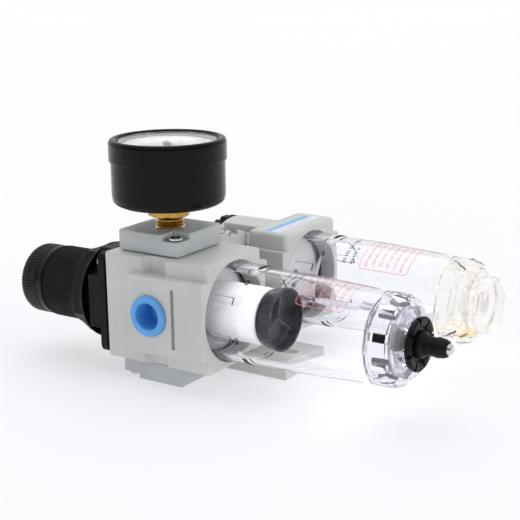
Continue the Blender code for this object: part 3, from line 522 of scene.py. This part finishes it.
def dressed_nodes():
    for node, material, soft in (
            ("fr_body", GREY, 0.3), ("lube_body", GREY, 0.3), ("spacer", GREY, 0.25), ("bracket", GREY, 0.25),
            ("gauge_block", BLUE_GREY, 0.25), ("rear_block", BLUE_GREY, 0.25),
            ("lube_rear_block", BLUE_GREY, 0.25), ("clamp_front", LIGHT_GREY, 0.3), ("bonnet", BLACK, 0.25),
            ("lube_cap", BLACK, 0.25), ("filter_o_ring", RUBBER, 0.0), ("lube_o_ring", RUBBER, 0.0),
            ("joint_o_ring_1", RUBBER, 0.0), ("joint_o_ring_2", RUBBER, 0.0),
            ("adjusting_screw", ZINC, 0.0), ("spring_nut", ZINC, 0.0), ("diaphragm_plate", ZINC, 0.0),
            ("valve_stem", BRASS, 0.0), ("oil_strainer", PLATED, 0.0), ("bourdon_tube", BRASS, 0.0),
            ("oil_tube", CLEAR_END, 0.0)):
        dress(node, material, soft)


def soft_parts():
    """Copies of the springs and the diaphragm in wire and rubber, each riding its node's body in place of the
    node.
    """
    for name, node, material, slot, joint, travel in (
            ("main_spring", "regulating_spring", WIRE, "spring_steel", "spring_nut_travel", 4.1),
            ("return_spring", "valve_spring", WIRE, "spring_steel", "valve_open", 1.2),
            ("rubber_disc", "diaphragm", RUBBER, "rubber", "valve_open", 1.25)):
        piece = bpy.data.objects.new(name, NODES[node].data.copy())
        scene.collection.objects.link(piece)
        piece.data.materials.clear()
        piece.data.materials.append(material)
        place(piece, slot, node)
        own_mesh(piece)


# ---------------------------------------------------------------- pressure gauge

def gauge():
    top = H + 57.4
    base = H + 34.6
    seam = H + 49.8
    shell = [(base, 0.0), (base, 17.0, 0.5), (base + 0.25, 17.6, 0.4), (base + 1.2, 19.2, 1.6),
             (base + 3.4, 19.6, 0.6), (seam + 0.2, 19.6, 0.1), (seam + 0.2, 18.6, 0.1),
             (base + 2.8, 18.4, 0.6), (base + 1.2, 16.4, 0.4), (base + 1.2, 0.0)]
    place(lathe("gauge_shell", shell, ENAMEL, "z", (0.0, 0.0), 128), "gauge_black", "gauge_case")
    rim = [(seam + 2.6, 17.1), (seam + 2.6, 19.85), (seam + 0.1, 19.85, 0.05), (seam, 20.0, 0.1),
           (seam + 0.35, 20.2, 0.2), (top - 1.3, 20.2, 0.8), (top - 0.25, 19.7, 0.5), (top, 18.9, 0.3),
           (top - 0.05, 18.0, 0.3), (top - 0.9, 17.15, 0.3)]
    place(lathe("gauge_rim", rim, ENAMEL, "z", (0.0, 0.0), 128), "gauge_black", "gauge_bezel")
    lens = [(H + 55.8, 0.0), (H + 55.8, 16.9), (H + 56.7, 16.9), (H + 56.75, 10.0, 0.0), (H + 56.8, 0.0)]
    place(lathe("gauge_window", lens, LENS, "z", (0.0, 0.0), 96, fillet=0.1), "clear_plastic", "gauge_lens")
    face = [(H + 53.7, 1.3), (H + 53.7, 16.8), (H + 54.2, 16.8), (H + 54.2, 1.3)]
    place(lathe("gauge_face", face, DIAL, "z", (0.0, 0.0), 96, fillet=0.05), "dial_white", "gauge_dial")
    dial_marks(H + 54.2)
    needle(H + 54.4)
    stem()


def dial_marks(z):
    """Two rings of ticks and plain numbers from 0 to 10."""
    pieces = []
    for step in range(51):
        turn = math.radians(-45.0 - 270.0 * step / 50)
        major = step % 5 == 0
        r0, half = (12.0, 0.10) if major else (13.2, 0.04)
        tick = box("tick", (r0, -half, z), (14.6, half, z + 0.04), DIAL_INK)
        tick.data.transform(Matrix.Rotation(turn, 4, "Z"))
        pieces.append(tick)
    arc = lathe("arc", [(z, 14.6), (z, 14.72), (z + 0.04, 14.72), (z + 0.04, 14.6)], DIAL_INK, "z",
                (0.0, 0.0), 80, (45.0, 315.0), 0.0)
    pieces.append(arc)
    for number in range(0, 11, 2):
        turn = math.radians(-45.0 - 27.0 * number)
        curve = bpy.data.curves.new("number", "FONT")
        curve.body = str(number)
        curve.size = 2.9 * MM
        curve.align_x = "CENTER"
        curve.align_y = "CENTER"
        curve.extrude = 0.03 * MM
        text = bpy.data.objects.new("number", curve)
        scene.collection.objects.link(text)
        bpy.context.view_layer.update()
        mesh = bpy.data.meshes.new_from_object(text)
        bpy.data.objects.remove(text)
        mesh.transform(Matrix.Translation(Vector((9.2 * math.cos(turn), 9.2 * math.sin(turn), z + 0.04)) * MM)
                       @ Matrix.Rotation(math.pi / 2.0, 4, "Z"))
        mesh.materials.clear()
        mesh.materials.append(DIAL_INK)
        digit = bpy.data.objects.new("digit", mesh)
        scene.collection.objects.link(digit)
        pieces.append(digit)
    place(merge("gauge_scale", *pieces), "gauge_black", body=BODY_OF["gauge_dial"])


def needle(z):
    blade = [(-5.2, -0.9), (-4.6, -1.1), (-1.6, -0.8), (0.0, -0.75), (13.2, -0.12), (13.4, 0.0), (13.2, 0.12),
             (0.0, 0.75), (-1.6, 0.8), (-4.6, 1.1), (-5.2, 0.9)]
    pointer = prism("blade", blade, z, z + 0.3, BLACK_GLOSS, "z", (0.0, 0.0), 0.05, 1)
    pointer.data.transform(Matrix.Rotation(math.radians(-45.0), 4, "Z"))
    hub = lathe("hub", [(H + 50.6, 0.0), (H + 50.6, 0.8), (z - 0.1, 0.8), (z - 0.1, 1.4), (z + 0.4, 1.4),
                        (z + 0.55, 1.2), (z + 0.55, 0.0)], BLACK_GLOSS, "z", (0.0, 0.0), 32, fillet=0.1)
    place(merge("gauge_needle", pointer, hub), "gauge_black", "gauge_pointer")


def stem():
    """The brass stem: chamfered hexagon, neck and taper thread."""
    flats = 6.9
    corner = flats / math.cos(math.pi / 6.0)
    hexagon = [(corner * math.cos(math.pi * k / 3.0), corner * math.sin(math.pi * k / 3.0)) for k in range(6)]
    nut = prism("stem_hex", hexagon, H + 30.2, H + 34.3, BRASS, "z", (0.0, 0.0), 0.15, 2)
    limit = lathe("limit", [(H + 29.9, 0.0), (H + 29.9, 5.4, 0.0), (H + 31.2, 8.0, 0.0), (H + 33.6, 8.0, 0.0),
                            (H + 34.6, 6.8, 0.0), (H + 34.6, 0.0)], BRASS, "z", (0.0, 0.0), 64, fillet=0.0)
    boolean(nut, "INTERSECT", limit)
    outline = [(H + 22.0, 0.0), (H + 22.0, 4.3, 0.0)]
    pitch = 0.907
    for k in range(7):
        z = H + 22.4 + pitch * k
        outline += [(z, 4.36, 0.0), (z + 0.32 * pitch, 4.86 + 0.01 * k, 0.06),
                    (z + 0.5 * pitch, 4.86 + 0.01 * k, 0.06)]
    outline += [(H + 28.9, 4.3, 0.1), (H + 29.3, 4.3, 0.1), (H + 30.6, 5.8, 0.2), (H + 30.6, 0.0)]
    neck = lathe("neck", outline, BRASS, "z", (0.0, 0.0), 64, fillet=0.05, angle=50.0)
    spigot = lathe("spigot", [(H + 34.1, 0.0), (H + 34.1, 3.0), (H + 39.2, 3.0), (H + 39.2, 0.0)], BRASS, "z",
                   (0.0, 0.0), 32)
    place(merge("gauge_stem", nut, neck, spigot), "brass", "gauge_socket")
    film = lathe("thread_sealant", [(H + 26.62, 4.9), (H + 26.62, 5.6, 0.0), (H + 26.8, 5.2),
                                    (H + 27.0, 4.9)], CLEAR_OIL,
                 "z", (0.0, 0.0), 48, fillet=0.05,
                 wobble=lambda turn, s, r: r
                 + (0.35 * math.sin(3.0 * turn + 1.0) + 0.2 * math.sin(7.0 * turn))
                 * max(0.0, r - 4.95))
    place(film, "clear_plastic", body="housing")


# ---------------------------------------------------------------- knob and ring nut

def knob():
    count = 84

    def sleeve_ribs(turn, station, radius):
        if radius < 12.0 or station < -49.4 or station > -36.9:
            return radius
        phase = (turn * count / (2.0 * math.pi)) % 1.0
        return radius - 0.34 * (0.5 + 0.5 * math.cos(2.0 * math.pi * phase))

    sleeve = [(-50.0, 3.4), (-50.0, 12.7, 0.2), (-49.5, 13.1, 0.2), (-49.3, 13.1, 0.0), (-43.0, 13.1, 0.0),
              (-37.0, 13.1, 0.0), (-36.8, 13.1, 0.0), (-36.4, 12.7, 0.2), (-36.4, 10.95), (-47.5, 10.95),
              (-47.5, 3.4)]
    place(lathe("knob_grip", sleeve, BLACK, "x", steps=count * 6, wobble=sleeve_ribs, angle=60.0),
          "black_plastic", "knob")

    def end_ribs(turn, station, radius):
        if radius < 11.6 or station > -54.0 or station < -60.9:
            return radius
        phase = (turn * 72 / (2.0 * math.pi)) % 1.0
        return radius - 0.22 * (0.5 + 0.5 * math.cos(2.0 * math.pi * phase))

    end = [(-50.3, 0.0), (-50.3, 12.7, 0.15), (-50.6, 12.95, 0.2), (-53.3, 12.55, 0.3), (-53.7, 12.8, 0.2),
           (-54.2, 12.8, 0.0), (-57.5, 12.8, 0.0), (-59.4, 12.75, 0.0), (-60.7, 12.1, 0.5),
           (-61.5, 10.8, 0.6), (-61.8, 9.4, 0.4), (-61.65, 8.6, 0.2), (-61.65, 0.0)]
    place(lathe("knob_end", end, BLACK_GLOSS, "x", steps=72 * 6, wobble=end_ribs, angle=60.0),
          "black_plastic", "knob_cap")

    def eight_flats(turn, station, radius):
        if radius < 14.6:
            return radius
        return radius / math.cos(math.radians((math.degrees(turn) + 22.5) % 45.0 - 22.5))

    flats = lathe("flats", [(-33.2, 14.4), (-33.2, 14.9), (-28.9, 14.9), (-28.9, 14.4)], BLACK, "x",
                  steps=192, fillet=0.25, wobble=eight_flats)
    dish = lathe("dish", [(-30.2, 14.42), (-30.2, 14.75), (-29.4, 15.7, 0.6), (-27.25, 17.3, 0.1),
                          (-26.75, 17.35, 0.1), (-27.6, 16.2, 0.4), (-28.5, 15.0, 0.3), (-28.6, 14.42)],
                          BLACK, "x",
                 steps=96, fillet=0.15)
    place(merge("ring_nut", flats, dish), "black_plastic", "panel_nut")


# ---------------------------------------------------------------- ports

def plug(name, node, y, out):
    face = y + out * 20.0
    outline = [(face + out * 1.2, 4.75, 0.35), (face + out * 1.2, 6.9, 0.45), (face, 7.2, 0.2),
               (face, 5.65, 0.1), (face - out * 8.5, 5.3), (face - out * 8.5, 0.0), (face - out * 7.4, 0.0),
               (face - out * 7.4, 4.3, 0.6), (face - out * 0.6, 4.5, 0.0)]
    shell = lathe(name, outline, BLUE, "y", (PORT_X, H), 96)
    nib = lathe("nib", [(face - out * 7.5, 0.0), (face - out * 7.5, 1.1), (face - out * 6.9, 0.9),
                        (face - out * 6.9, 0.0)], BLUE, "y", (PORT_X, H), 32, fillet=0.15)
    place(merge(name + "_cup", shell, nib), "blue_plastic", node)


# ---------------------------------------------------------------- bowls

OUTER = ((22.3, 17.1), (37.6, 17.0), (38.6, 16.6), (60.0, 16.2), (83.6, 15.0))
MEAN_R = 16.0


def bowl_radius(x):
    """Radius of the bowl's outer wall at station x."""
    for (x0, r0), (x1, r1) in zip(OUTER, OUTER[1:]):
        if x <= x1:
            return r0 + (r1 - r0) * max(0.0, x - x0) / (x1 - x0)
    return OUTER[-1][1]


def bowl(name, node, y, material):
    """One closed outline: the outer wall towards the drain, the spigot, then back along the inner wall."""
    outline = [(22.3, 14.9, 0.3), (22.3, 17.1, 0.3), (37.6, 17.0, 0.5), (38.6, 16.6, 0.5), (60.0, 16.2, 0.0),
               (83.6, 15.0, 0.4), (83.7, 13.0, 0.1), (83.7, 11.0, 0.3), (89.4, 10.4, 0.3), (89.4, 7.0, 0.3),
               (92.3, 7.0), (92.3, 4.05), (88.8, 4.05), (86.2, 9.0, 1.0), (82.6, 12.9, 2.5),
               (79.0, 13.9, 1.0), (60.0, 14.5, 0.0), (38.0, 15.0, 0.5)]
    place(lathe(name, outline, material, "x", (y, H), 128, fillet=0.3), "clear_plastic", node)


def strip(points, width, y, lift=0.03):
    """A ribbon through (x, degrees) points on a bowl, as loose quads in a new bmesh."""
    bm = bmesh.new()
    for (x0, a0), (x1, a1) in zip(points, points[1:]):
        span = max(1, int(max(abs(a1 - a0) / 3.0, abs(x1 - x0) / 2.0)))
        dx, da = x1 - x0, math.radians(a1 - a0) * MEAN_R
        length = math.hypot(dx, da) or 1.0
        nx, na = -da / length * 0.5 * width, math.degrees(dx / length * 0.5 * width / MEAN_R)
        rows = []
        for k in range(span + 1):
            t = k / span
            x, a = x0 + (x1 - x0) * t, a0 + (a1 - a0) * t
            row = []
            for side in (-1.0, 1.0):
                px, pa = x + side * nx, math.radians(a + side * na)
                r = bowl_radius(px) + lift
                row.append(bm.verts.new(Vector((px, y - r * math.cos(pa), H + r * math.sin(pa))) * MM))
            rows.append(row)
        for k in range(span):
            bm.faces.new((rows[k][0], rows[k][1], rows[k + 1][1], rows[k + 1][0]))
    return bm


def printed(name, strips, y, material, body, slot, lift=0.03):
    whole = bmesh.new()
    mesh = bpy.data.meshes.new(name)
    for points, width in strips:
        part = strip(points, width, y, lift)
        part.to_mesh(mesh)
        part.free()
        whole.from_mesh(mesh)
    bpy.data.meshes.remove(mesh)
    obj = add_piece(name, whole, material)
    thick = obj.modifiers.new("ink", "SOLIDIFY")
    thick.thickness = 0.02 * MM
    apply_modifiers(obj)
    return place(obj, slot, body=body)


def rounded_loop(x0, x1, a0, a1, r=1.6, steps=5):
    """A rounded rectangle in (x, degrees) on the bowl."""
    turn = math.degrees(r / MEAN_R)
    corners = ((x1 - r, a1 - turn, 0.0), (x0 + r, a1 - turn, 90.0), (x0 + r, a0 + turn, 180.0),
               (x1 - r, a0 + turn, 270.0))
    loop = []
    for cx, ca, start in corners:
        for k in range(steps + 1):
            t = math.radians(start + 90.0 * k / steps)
            loop.append((cx + r * math.cos(t), ca + turn * math.sin(t)))
    return loop + loop[:1]


def words(rng, x, start, stop, mark, step, gap):
    """One printed row as groups of short strokes, laid across the bowl at station x."""
    length, width = mark
    strokes = []
    a = start
    while a < stop:
        end = min(a + step * rng.randint(2, 6), stop)
        while a < end:
            reach = 0.5 * length * rng.uniform(0.75, 1.0)
            strokes.append((((x - reach, a), (x + reach, a)), width))
            a += step
        a += gap
    return strokes


def bowl_print(prefix, y, body, x0, x1, a0, a1, notes, seed):
    """A plain red frame with rows of short strokes, and rows of black strokes; no lettering."""
    rng = random.Random(seed)
    red = [(rounded_loop(x0, x1, a0, a1), 0.2)]
    rows = 6
    for k in range(rows):
        x = x1 - 2.6 - (x1 - x0 - 5.0) * k / (rows - 1)
        a = a0 + 6.0
        if k in (0, rows - 1):
            red.append((((x - 0.3, a - 1.6), (x + 0.3, a - 1.6)), 0.6))
        red += words(rng, x, a + 0.8, a1 - 4.0, (0.95, 0.19), 1.7, 2.2)
    printed(prefix + "_red_print", red, y, RED_INK, body, "clear_plastic")
    black = []
    for x, start, stop, size in notes:
        black += words(rng, x, start, stop, (size, 0.3), 2.6, 2.4)
    printed(prefix + "_black_print", black, y, BLACK_INK, body, "clear_plastic")


def bayonet_marks(prefix, y, body):
    """The raised L-shaped ridges round the collar that guide the bowl into the body, drawn as thin flat
    strips: light grey strips paint their highlights and dark ink strips paint their shade.
    """
    lines = []
    ends = []
    for k in range(8):
        a = 30.0 + 45.0 * k
        lines.append((((28.4, a + 4.0), (35.6, a + 4.0)), 0.34))
        lines.append((((28.4, a - 5.5), (33.4, a - 5.5)), 0.28))
        ends.append((((36.0, a + 4.5), (36.0, a - 4.5)), 0.5))
        ends.append((((28.4, a + 4.4), (36.0, a + 4.4)), 0.1))
    # painted highlight: light grey strips along the ridges
    printed(prefix + "_ridge_highlights", lines, y, RIDGE_HIGHLIGHT_GREY, body, "clear_plastic", 0.02)
    # painted shade: dark ink strips at the ridge ends and beside the ridges
    printed(prefix + "_ridge_shade_strips", ends, y, SHADE_INK, body, "clear_plastic", 0.03)


def end_ring(name, node, y, material, windows):
    """The clear guard round the bowl's end, with nine windows on the filter's."""
    outline = [(83.9, 13.2, 0.2), (83.9, 15.0, 0.25), (84.6, 15.05, 0.2), (89.6, 15.0, 0.8),
               (91.6, 14.2, 1.2), (93.4, 12.4, 0.8), (94.4, 11.0, 0.4), (94.4, 4.4, 0.2), (92.7, 4.4, 0.2),
               (92.5, 11.3, 0.6), (90.3, 12.9, 0.8)]
    ring = lathe(name, outline, material, "x", (y, H), 108)
    if windows:
        slots = []
        for k in range(9):
            slot = box("slot", (85.1, -1.35, 11.6), (90.9, 1.35, 16.5), material, 0.3)
            slots.append(round_the_axis(slot, window_turn(k), y))
        boolean(ring, "DIFFERENCE", *slots)
    place(ring, "clear_plastic", node)


def window_turn(k):
    """Turn of window k of nine, from straight up."""
    return math.radians(180.0 - 18.3 - 40.0 * k) - math.pi / 2.0


def round_the_axis(obj, turn, y=0.0):
    """Moves a piece made on the Z axis to its place round a bowl's axis."""
    obj.data.transform(Matrix.Translation(Vector((0.0, y, H)) * MM) @ Matrix.Rotation(turn, 4, "X"))
    return obj


def collar_lugs():
    """The inner ring of the guard: clear, with one black lug behind each window."""
    parts = [lathe("hoop", [(90.3, 7.7), (90.3, 11.6), (91.3, 11.0), (91.3, 7.7)], CLEAR_END, "x", steps=96)]
    for k in range(9):
        lug = box("lug", (85.3, -1.45, 10.9), (90.6, 1.45, 12.2), BLACK, 0.2)
        parts.append(round_the_axis(lug, window_turn(k)))
    place(merge("collar_lugs", *parts), "black_plastic", "drain_collar")


def drain():
    """The black drain ring with eight lugs, the barbed nozzle and the bright pin."""
    disc = lathe("disc", [(94.7, 3.7), (94.7, 8.5), (95.6, 8.5), (95.6, 3.7)], BLACK, "x", steps=96,
                 fillet=0.15)
    parts = [disc]
    for k in range(8):
        start = 12.0 + 45.0 * k + 4.2
        lug = lathe("lug", [(95.3, 5.6), (95.3, 8.75), (96.4, 8.8), (96.8, 8.3), (96.75, 6.9), (96.2, 5.7)],
                    BLACK, "x", steps=10, sweep=(start, start + 36.6), fillet=0.2)
        parts.append(lug)
    place(merge("drain_wheel", *parts), "black_plastic", "drain_ring")
    barb = [(86.4, 1.2), (86.4, 5.2), (88.0, 3.35), (95.7, 3.35), (95.9, 4.5, 0.3), (97.4, 4.3, 0.4),
            (98.2, 3.3, 0.4), (99.6, 3.2, 0.0), (99.7, 3.1), (101.2, 3.05), (101.4, 3.15), (102.4, 3.3, 0.3),
            (104.5, 3.0, 0.5), (105.5, 2.55, 0.2), (105.5, 2.2, 0.1), (102.9, 2.2), (102.9, 1.2)]
    place(lathe("drain_barb", barb, BLACK, "x", steps=72), "black_plastic", "drain_nozzle")
    pin = [(87.5, 0.0), (87.5, 0.8), (104.6, 0.8), (104.6, 1.85), (106.1, 1.9, 0.3), (106.9, 1.45, 0.4),
           (107.15, 0.5, 0.1), (106.8, 0.0)]
    place(lathe("drain_tip", pin, CHROME, "x", steps=48), "steel", "drain_pin")


def filter_core():
    def fluted(turn, station, radius):
        if radius < 9.3 or station > 40.2:
            return radius
        return radius - 0.10 * (0.5 + 0.5 * math.cos(24.0 * turn))

    core = [(20.5, 4.7), (20.5, 9.8), (38.0, 9.8, 0.0), (40.3, 9.7, 0.1), (40.9, 9.2, 0.3), (40.9, 6.0),
            (22.6, 6.0), (22.6, 4.7)]
    place(lathe("filter_core", core, WHITE, "x", steps=144, wobble=fluted, angle=50.0), "white_plastic",
          "filter_element")
    disc = lathe("disc", [(41.25, 0.0), (41.25, 9.6), (43.0, 10.2, 0.6), (47.1, 10.85, 0.15),
                          (47.1, 10.1, 0.1), (43.4, 9.4, 0.4), (43.0, 0.0)], SMOKE, "x", steps=96)
    parts = [disc]
    for k in range(3):
        rib = box("rib", (42.6, -0.14, 0.0), (44.4, 0.14, 9.6), RIB_GREY, 0.05)
        parts.append(round_the_axis(rib, math.radians(120.0 * k - 8.0)))
    place(merge("baffle_disc", *parts), "black_plastic", "baffle")


# ---------------------------------------------------------------- lubricator

def lubricator():
    dome = [(-3.5, 8.3), (-3.5, 10.15), (-20.8, 10.15, 1.5), (-24.2, 8.0, 2.0), (-25.9, 4.6, 0.8),
            (-25.9, 2.3), (-24.7, 2.3), (-23.3, 6.4, 2.0), (-20.4, 8.3, 1.5)]
    place(lathe("sight_glass", dome, CLEAR, "x", (PITCH, H), 96), "clear_plastic", "sight_dome")

    def grip(turn, station, radius):
        if radius < 4.6 or station > -26.9 or station < -30.7:
            return radius
        return radius - 0.25 * (0.5 + 0.5 * math.cos(24.0 * turn))

    head = [(2.5, 0.0), (-1.0, 1.45, 0.0), (-26.5, 1.45), (-26.5, 5.0), (-26.9, 5.0, 0.0), (-30.7, 4.85, 0.2),
            (-31.15, 4.3, 0.2), (-31.15, 0.0)]
    screw = lathe("drip_screw", head, BLACK, "x", (PITCH, H), 144, wobble=grip, angle=50.0)
    slot = box("slot", (-32.0, PITCH - 3.4, H - 0.45), (-30.2, PITCH + 3.4, H + 0.45), BLACK)
    place(boolean(screw, "DIFFERENCE", slot), "black_plastic", "drip_knob")

    def teeth(turn, station, radius):
        if radius < 9.0 or not 94.0 < station < 95.8:
            return radius
        return radius - 0.9 * (0.5 + 0.5 * math.cos(48.0 * turn)) ** 2

    body = [(86.4, 0.0), (86.4, 5.2), (88.0, 3.3), (94.7, 3.3), (94.75, 9.6, 0.1), (94.9, 10.15, 0.0),
            (95.7, 10.15, 0.0), (95.9, 9.75, 0.1), (98.3, 9.9, 0.3), (99.15, 9.5, 0.3), (99.1, 8.3, 0.3),
            (97.6, 7.2, 1.2), (97.2, 5.0, 0.5), (97.2, 0.0)]
    place(lathe("oil_plug", body, MILKY, "x", (PITCH, H), 480, wobble=teeth, angle=60.0), "clear_plastic",
          "lube_drain_plug")
    film = lathe("oil_film", [(86.2, 12.6), (86.2, 12.85), (89.6, 12.85), (91.9, 11.6), (92.2, 10.7),
                              (91.6, 10.65), (89.2, 12.55)], OIL, "x", (PITCH, H), 40, (240.0, 300.0), 0.1)
    place(film, "clear_plastic", body="lube_bowl")
    band = lathe("oil_streak", [(87.4, 12.45), (87.4, 12.6), (92.0, 11.9), (92.0, 11.7)], OIL, "x",
                 (PITCH, H), 4, (196.0, 197.4), 0.0)
    place(band, "clear_plastic", body="lube_bowl")


def badge():
    """Plain bands with faint strokes on the lubricator's front face."""
    box_top = H + 19.72
    bands = [box("blue_band", (16.6, 34.5, box_top), (18.9, 62.0, box_top + 0.04), BLUE_INK),
             box("white_band", (18.9, 34.5, box_top), (22.8, 64.0, box_top + 0.04), WHITE_INK)]
    rng = random.Random(11)
    for row in range(3):
        y = 37.0
        while y < 60.0:
            stop = y + rng.uniform(1.0, 3.2)
            x = 19.7 + 1.1 * row
            bands.append(box("dash", (x, y, box_top + 0.03), (x + 0.35, stop, box_top + 0.06), DASH_INK))
            y = stop + rng.uniform(0.5, 1.1)
    place(merge("badge", *bands), "grey_paint", body="housing")


# ---------------------------------------------------------------- screws

def pan_head(name, node, x, y, seat, up, shank, head_r=2.4, head_h=1.4, shank_r=1.15, turn=0.4):
    """A pan-head screw with a cross recess, along Z."""
    outline = [(seat - up * shank, 0.0), (seat - up * shank, shank_r), (seat, shank_r, 0.05),
               (seat, head_r, 0.15), (seat + up * 0.55 * head_h, head_r, 0.3),
               (seat + up * 0.93 * head_h, 0.6 * head_r, 0.4), (seat + up * head_h, 0.0)]
    screw = lathe(name, outline, CHROME, "z", (x, y), 48, fillet=0.1)
    tools = []
    z0, z1 = sorted((seat + up * (head_h - 0.85), seat + up * (head_h + 0.5)))
    for k in range(2):
        bar = box("bar", (-1.35, -0.27, z0), (1.35, 0.27, z1), CHROME, 0.08)
        bar.data.transform(Matrix.Translation(Vector((x, y, 0.0)) * MM)
                           @ Matrix.Rotation(turn + k * math.pi / 2.0, 4, "Z"))
        tools.append(bar)
    boolean(screw, "DIFFERENCE", *tools)
    place(screw, "steel", node)


def screws():
    seat = H - 2.1 + 0.3
    at = 9.6
    pan_head("block_screw_a", "gauge_block_screw_1", at, -at, H + seat, 1.0, 9.0)
    pan_head("block_screw_b", "gauge_block_screw_2", -at, at, H + seat, 1.0, 9.0, turn=1.1)
    pan_head("back_screw_a", "rear_block_screw_1", -at, -at, H - seat, -1.0, 9.0)
    pan_head("back_screw_b", "rear_block_screw_2", at, at, H - seat, -1.0, 9.0, turn=0.9)
    pan_head("oil_back_screw", "lube_rear_block_screw", 0.0, PITCH, H - seat, -1.0, 9.0)
    pan_head("clamp_bolt", "clamp_screw", 5.4, 25.0, H + 19.0, 1.0, 10.6, 2.3, 1.6, 1.25, 0.6)
    pan_head("bracket_bolt_a", "bracket_screw_1", -3.0, 25.0, 2.9, -1.0, 14.6, 2.5, 1.6, 1.25)
    pan_head("bracket_bolt_b", "bracket_screw_2", 13.4, 25.0, 2.9, -1.0, 14.6, 2.5, 1.6, 1.25, 0.8)
    for n, (a, b) in enumerate(((-1, 1), (1, 1), (-1, -1), (1, -1))):
        outline = [(-18.25, 0.0), (-18.25, 1.25), (-20.25, 1.25), (-20.25, 2.4, 0.15), (-20.9, 2.35, 0.3),
                   (-21.3, 1.3, 0.3), (-21.35, 0.0)]
        centre = (a * 12.8, H + b * 14.3)
        screw = lathe("cover_screw_%d" % (n + 1), outline, CHROME, "x", centre, 40, fillet=0.1)
        tools = []
        for k in range(2):
            half = (1.3, 0.26) if k else (0.26, 1.3)
            tools.append(box("bar", (-22.0, centre[0] - half[0], centre[1] - half[1]),
                             (-20.75, centre[0] + half[0], centre[1] + half[1]), CHROME))
        boolean(screw, "DIFFERENCE", *tools)
        place(screw, "steel", "bonnet_screw_%d" % (n + 1))


# ---------------------------------------------------------------- floor, light and camera

def floor_and_light():
    bpy.ops.mesh.primitive_plane_add(size=14.0, location=(0.0, 0.0, -0.0001))
    floor = bpy.context.object
    floor.name = "floor"
    t = Tree("pale_floor")
    t.colour(t.mix(t.spread(t.noise(2.0, 2.0), 0.0, 1.0), (0.33, 0.33, 0.34), (0.34, 0.34, 0.35)))
    t.set(Roughness=0.7, Specular_IOR_Level=0.1, Emission_Color=(0.86, 0.86, 0.89, 1.0),
          Emission_Strength=0.66)
    floor.data.materials.append(t.material)
    studio()
    for name, source, strength, spread in (
            ("overhead", (-0.30, 0.25, 1.0), 2.35, 80.0),
            ("right_side", (1.0, 0.15, 0.30), 1.45, 50.0),
            ("front_side", (-0.15, -1.0, 0.25), 0.72, 50.0)):
        lamp = bpy.data.lights.new(name, "SUN")
        lamp.energy = strength
        lamp.angle = math.radians(spread)
        obj = bpy.data.objects.new(name, lamp)
        scene.collection.objects.link(obj)
        obj.rotation_euler = Vector(source).to_track_quat("Z", "Y").to_euler()
        obj.visible_glossy = False


def studio():
    """A white surround: dim as ambient light, brightest overhead and dark on one side in reflections."""
    world = bpy.data.worlds.new("studio")
    world.use_nodes = True
    nodes, links = world.node_tree.nodes, world.node_tree.links
    back = nodes["Background"]
    back.inputs["Color"].default_value = (0.965, 0.965, 0.99, 1.0)
    way = nodes.new("ShaderNodeTexCoord").outputs["Generated"]

    def along(direction, low, high, at_low, at_high):
        dot = nodes.new("ShaderNodeVectorMath")
        dot.operation = "DOT_PRODUCT"
        dot.inputs[1].default_value = direction
        links.new(way, dot.inputs[0])
        scale = nodes.new("ShaderNodeMapRange")
        for key, value in (("From Min", low), ("From Max", high), ("To Min", at_low), ("To Max", at_high)):
            scale.inputs[key].default_value = value
        links.new(dot.outputs["Value"], scale.inputs["Value"])
        return scale.outputs["Result"]

    side = along((0.553, -0.833, 0.0), -0.3, 0.6, 0.70, 0.06)
    roof = along((0.0, 0.0, 1.0), 0.35, 0.8, 0.0, 0.85)
    most = nodes.new("ShaderNodeMath")
    most.operation = "MAXIMUM"
    links.new(side, most.inputs[0])
    links.new(roof, most.inputs[1])
    path = nodes.new("ShaderNodeLightPath")
    last = None
    for output, strength in (("Is Glossy Ray", most.outputs[0]), ("Is Diffuse Ray", 0.30),
                             ("Is Transmission Ray", 0.92)):
        pick = nodes.new("ShaderNodeMix")
        pick.data_type = "FLOAT"
        links.new(path.outputs[output], pick.inputs[0])
        for socket, value in ((pick.inputs[2], 0.92 if last is None else last), (pick.inputs[3], strength)):
            if isinstance(value, float):
                socket.default_value = value
            else:
                links.new(value, socket)
        last = pick.outputs[0]
    links.new(last, back.inputs["Strength"])
    scene.world = world


def camera():
    look = Vector((-0.5351, 0.8057, -0.2542)).normalized()
    right = look.cross(Vector((0.0, 0.0, 1.0))).normalized()
    up = right.cross(look)
    roll = math.radians(-0.861)
    across = math.cos(roll) * right + math.sin(roll) * up
    upward = -math.sin(roll) * right + math.cos(roll) * up
    lens = bpy.data.cameras.new("camera")
    lens.lens = 85.63
    lens.sensor_width = 36.0
    lens.shift_x = 0.0044
    lens.shift_y = 0.0025
    lens.clip_start = 0.01
    obj = bpy.data.objects.new("camera", lens)
    turn = Matrix((across, upward, -look)).transposed().to_4x4()
    obj.matrix_world = Matrix.Translation((0.25554, -0.33043, 0.14949)) @ turn
    scene.collection.objects.link(obj)
    scene.camera = obj


dressed_nodes()
soft_parts()
gauge()
knob()
plug("plug_in", "inlet_plug", 0.0, -1.0)
plug("plug_out", "outlet_plug", PITCH, 1.0)
bowl("filter_shell", "filter_bowl", 0.0, CLEAR)
bowl("oil_shell", "lube_bowl", PITCH, CLEAR)
bowl_print("filter", 0.0, "filter_bowl", 58.0, 75.2, 40.0, 96.0,
           ((50.2, 62.0, 98.0, 1.3), (52.2, 58.0, 96.0, 0.8), (54.3, 66.0, 92.0, 1.2)), 3)
bowl_print("oil", PITCH, "lube_bowl", 53.6, 72.0, 38.0, 94.0,
           ((47.2, 43.0, 95.0, 1.6), (50.2, 43.0, 70.0, 1.3)), 5)
bayonet_marks("filter", 0.0, "filter_bowl")
bayonet_marks("oil", PITCH, "lube_bowl")
end_ring("filter_end", "filter_guard_ring", 0.0, CLEAR_END, True)
end_ring("oil_end", "lube_guard_ring", PITCH, CLEAR_OIL, False)
collar_lugs()
drain()
filter_core()
lubricator()
badge()
screws()
floor_and_light()
camera()
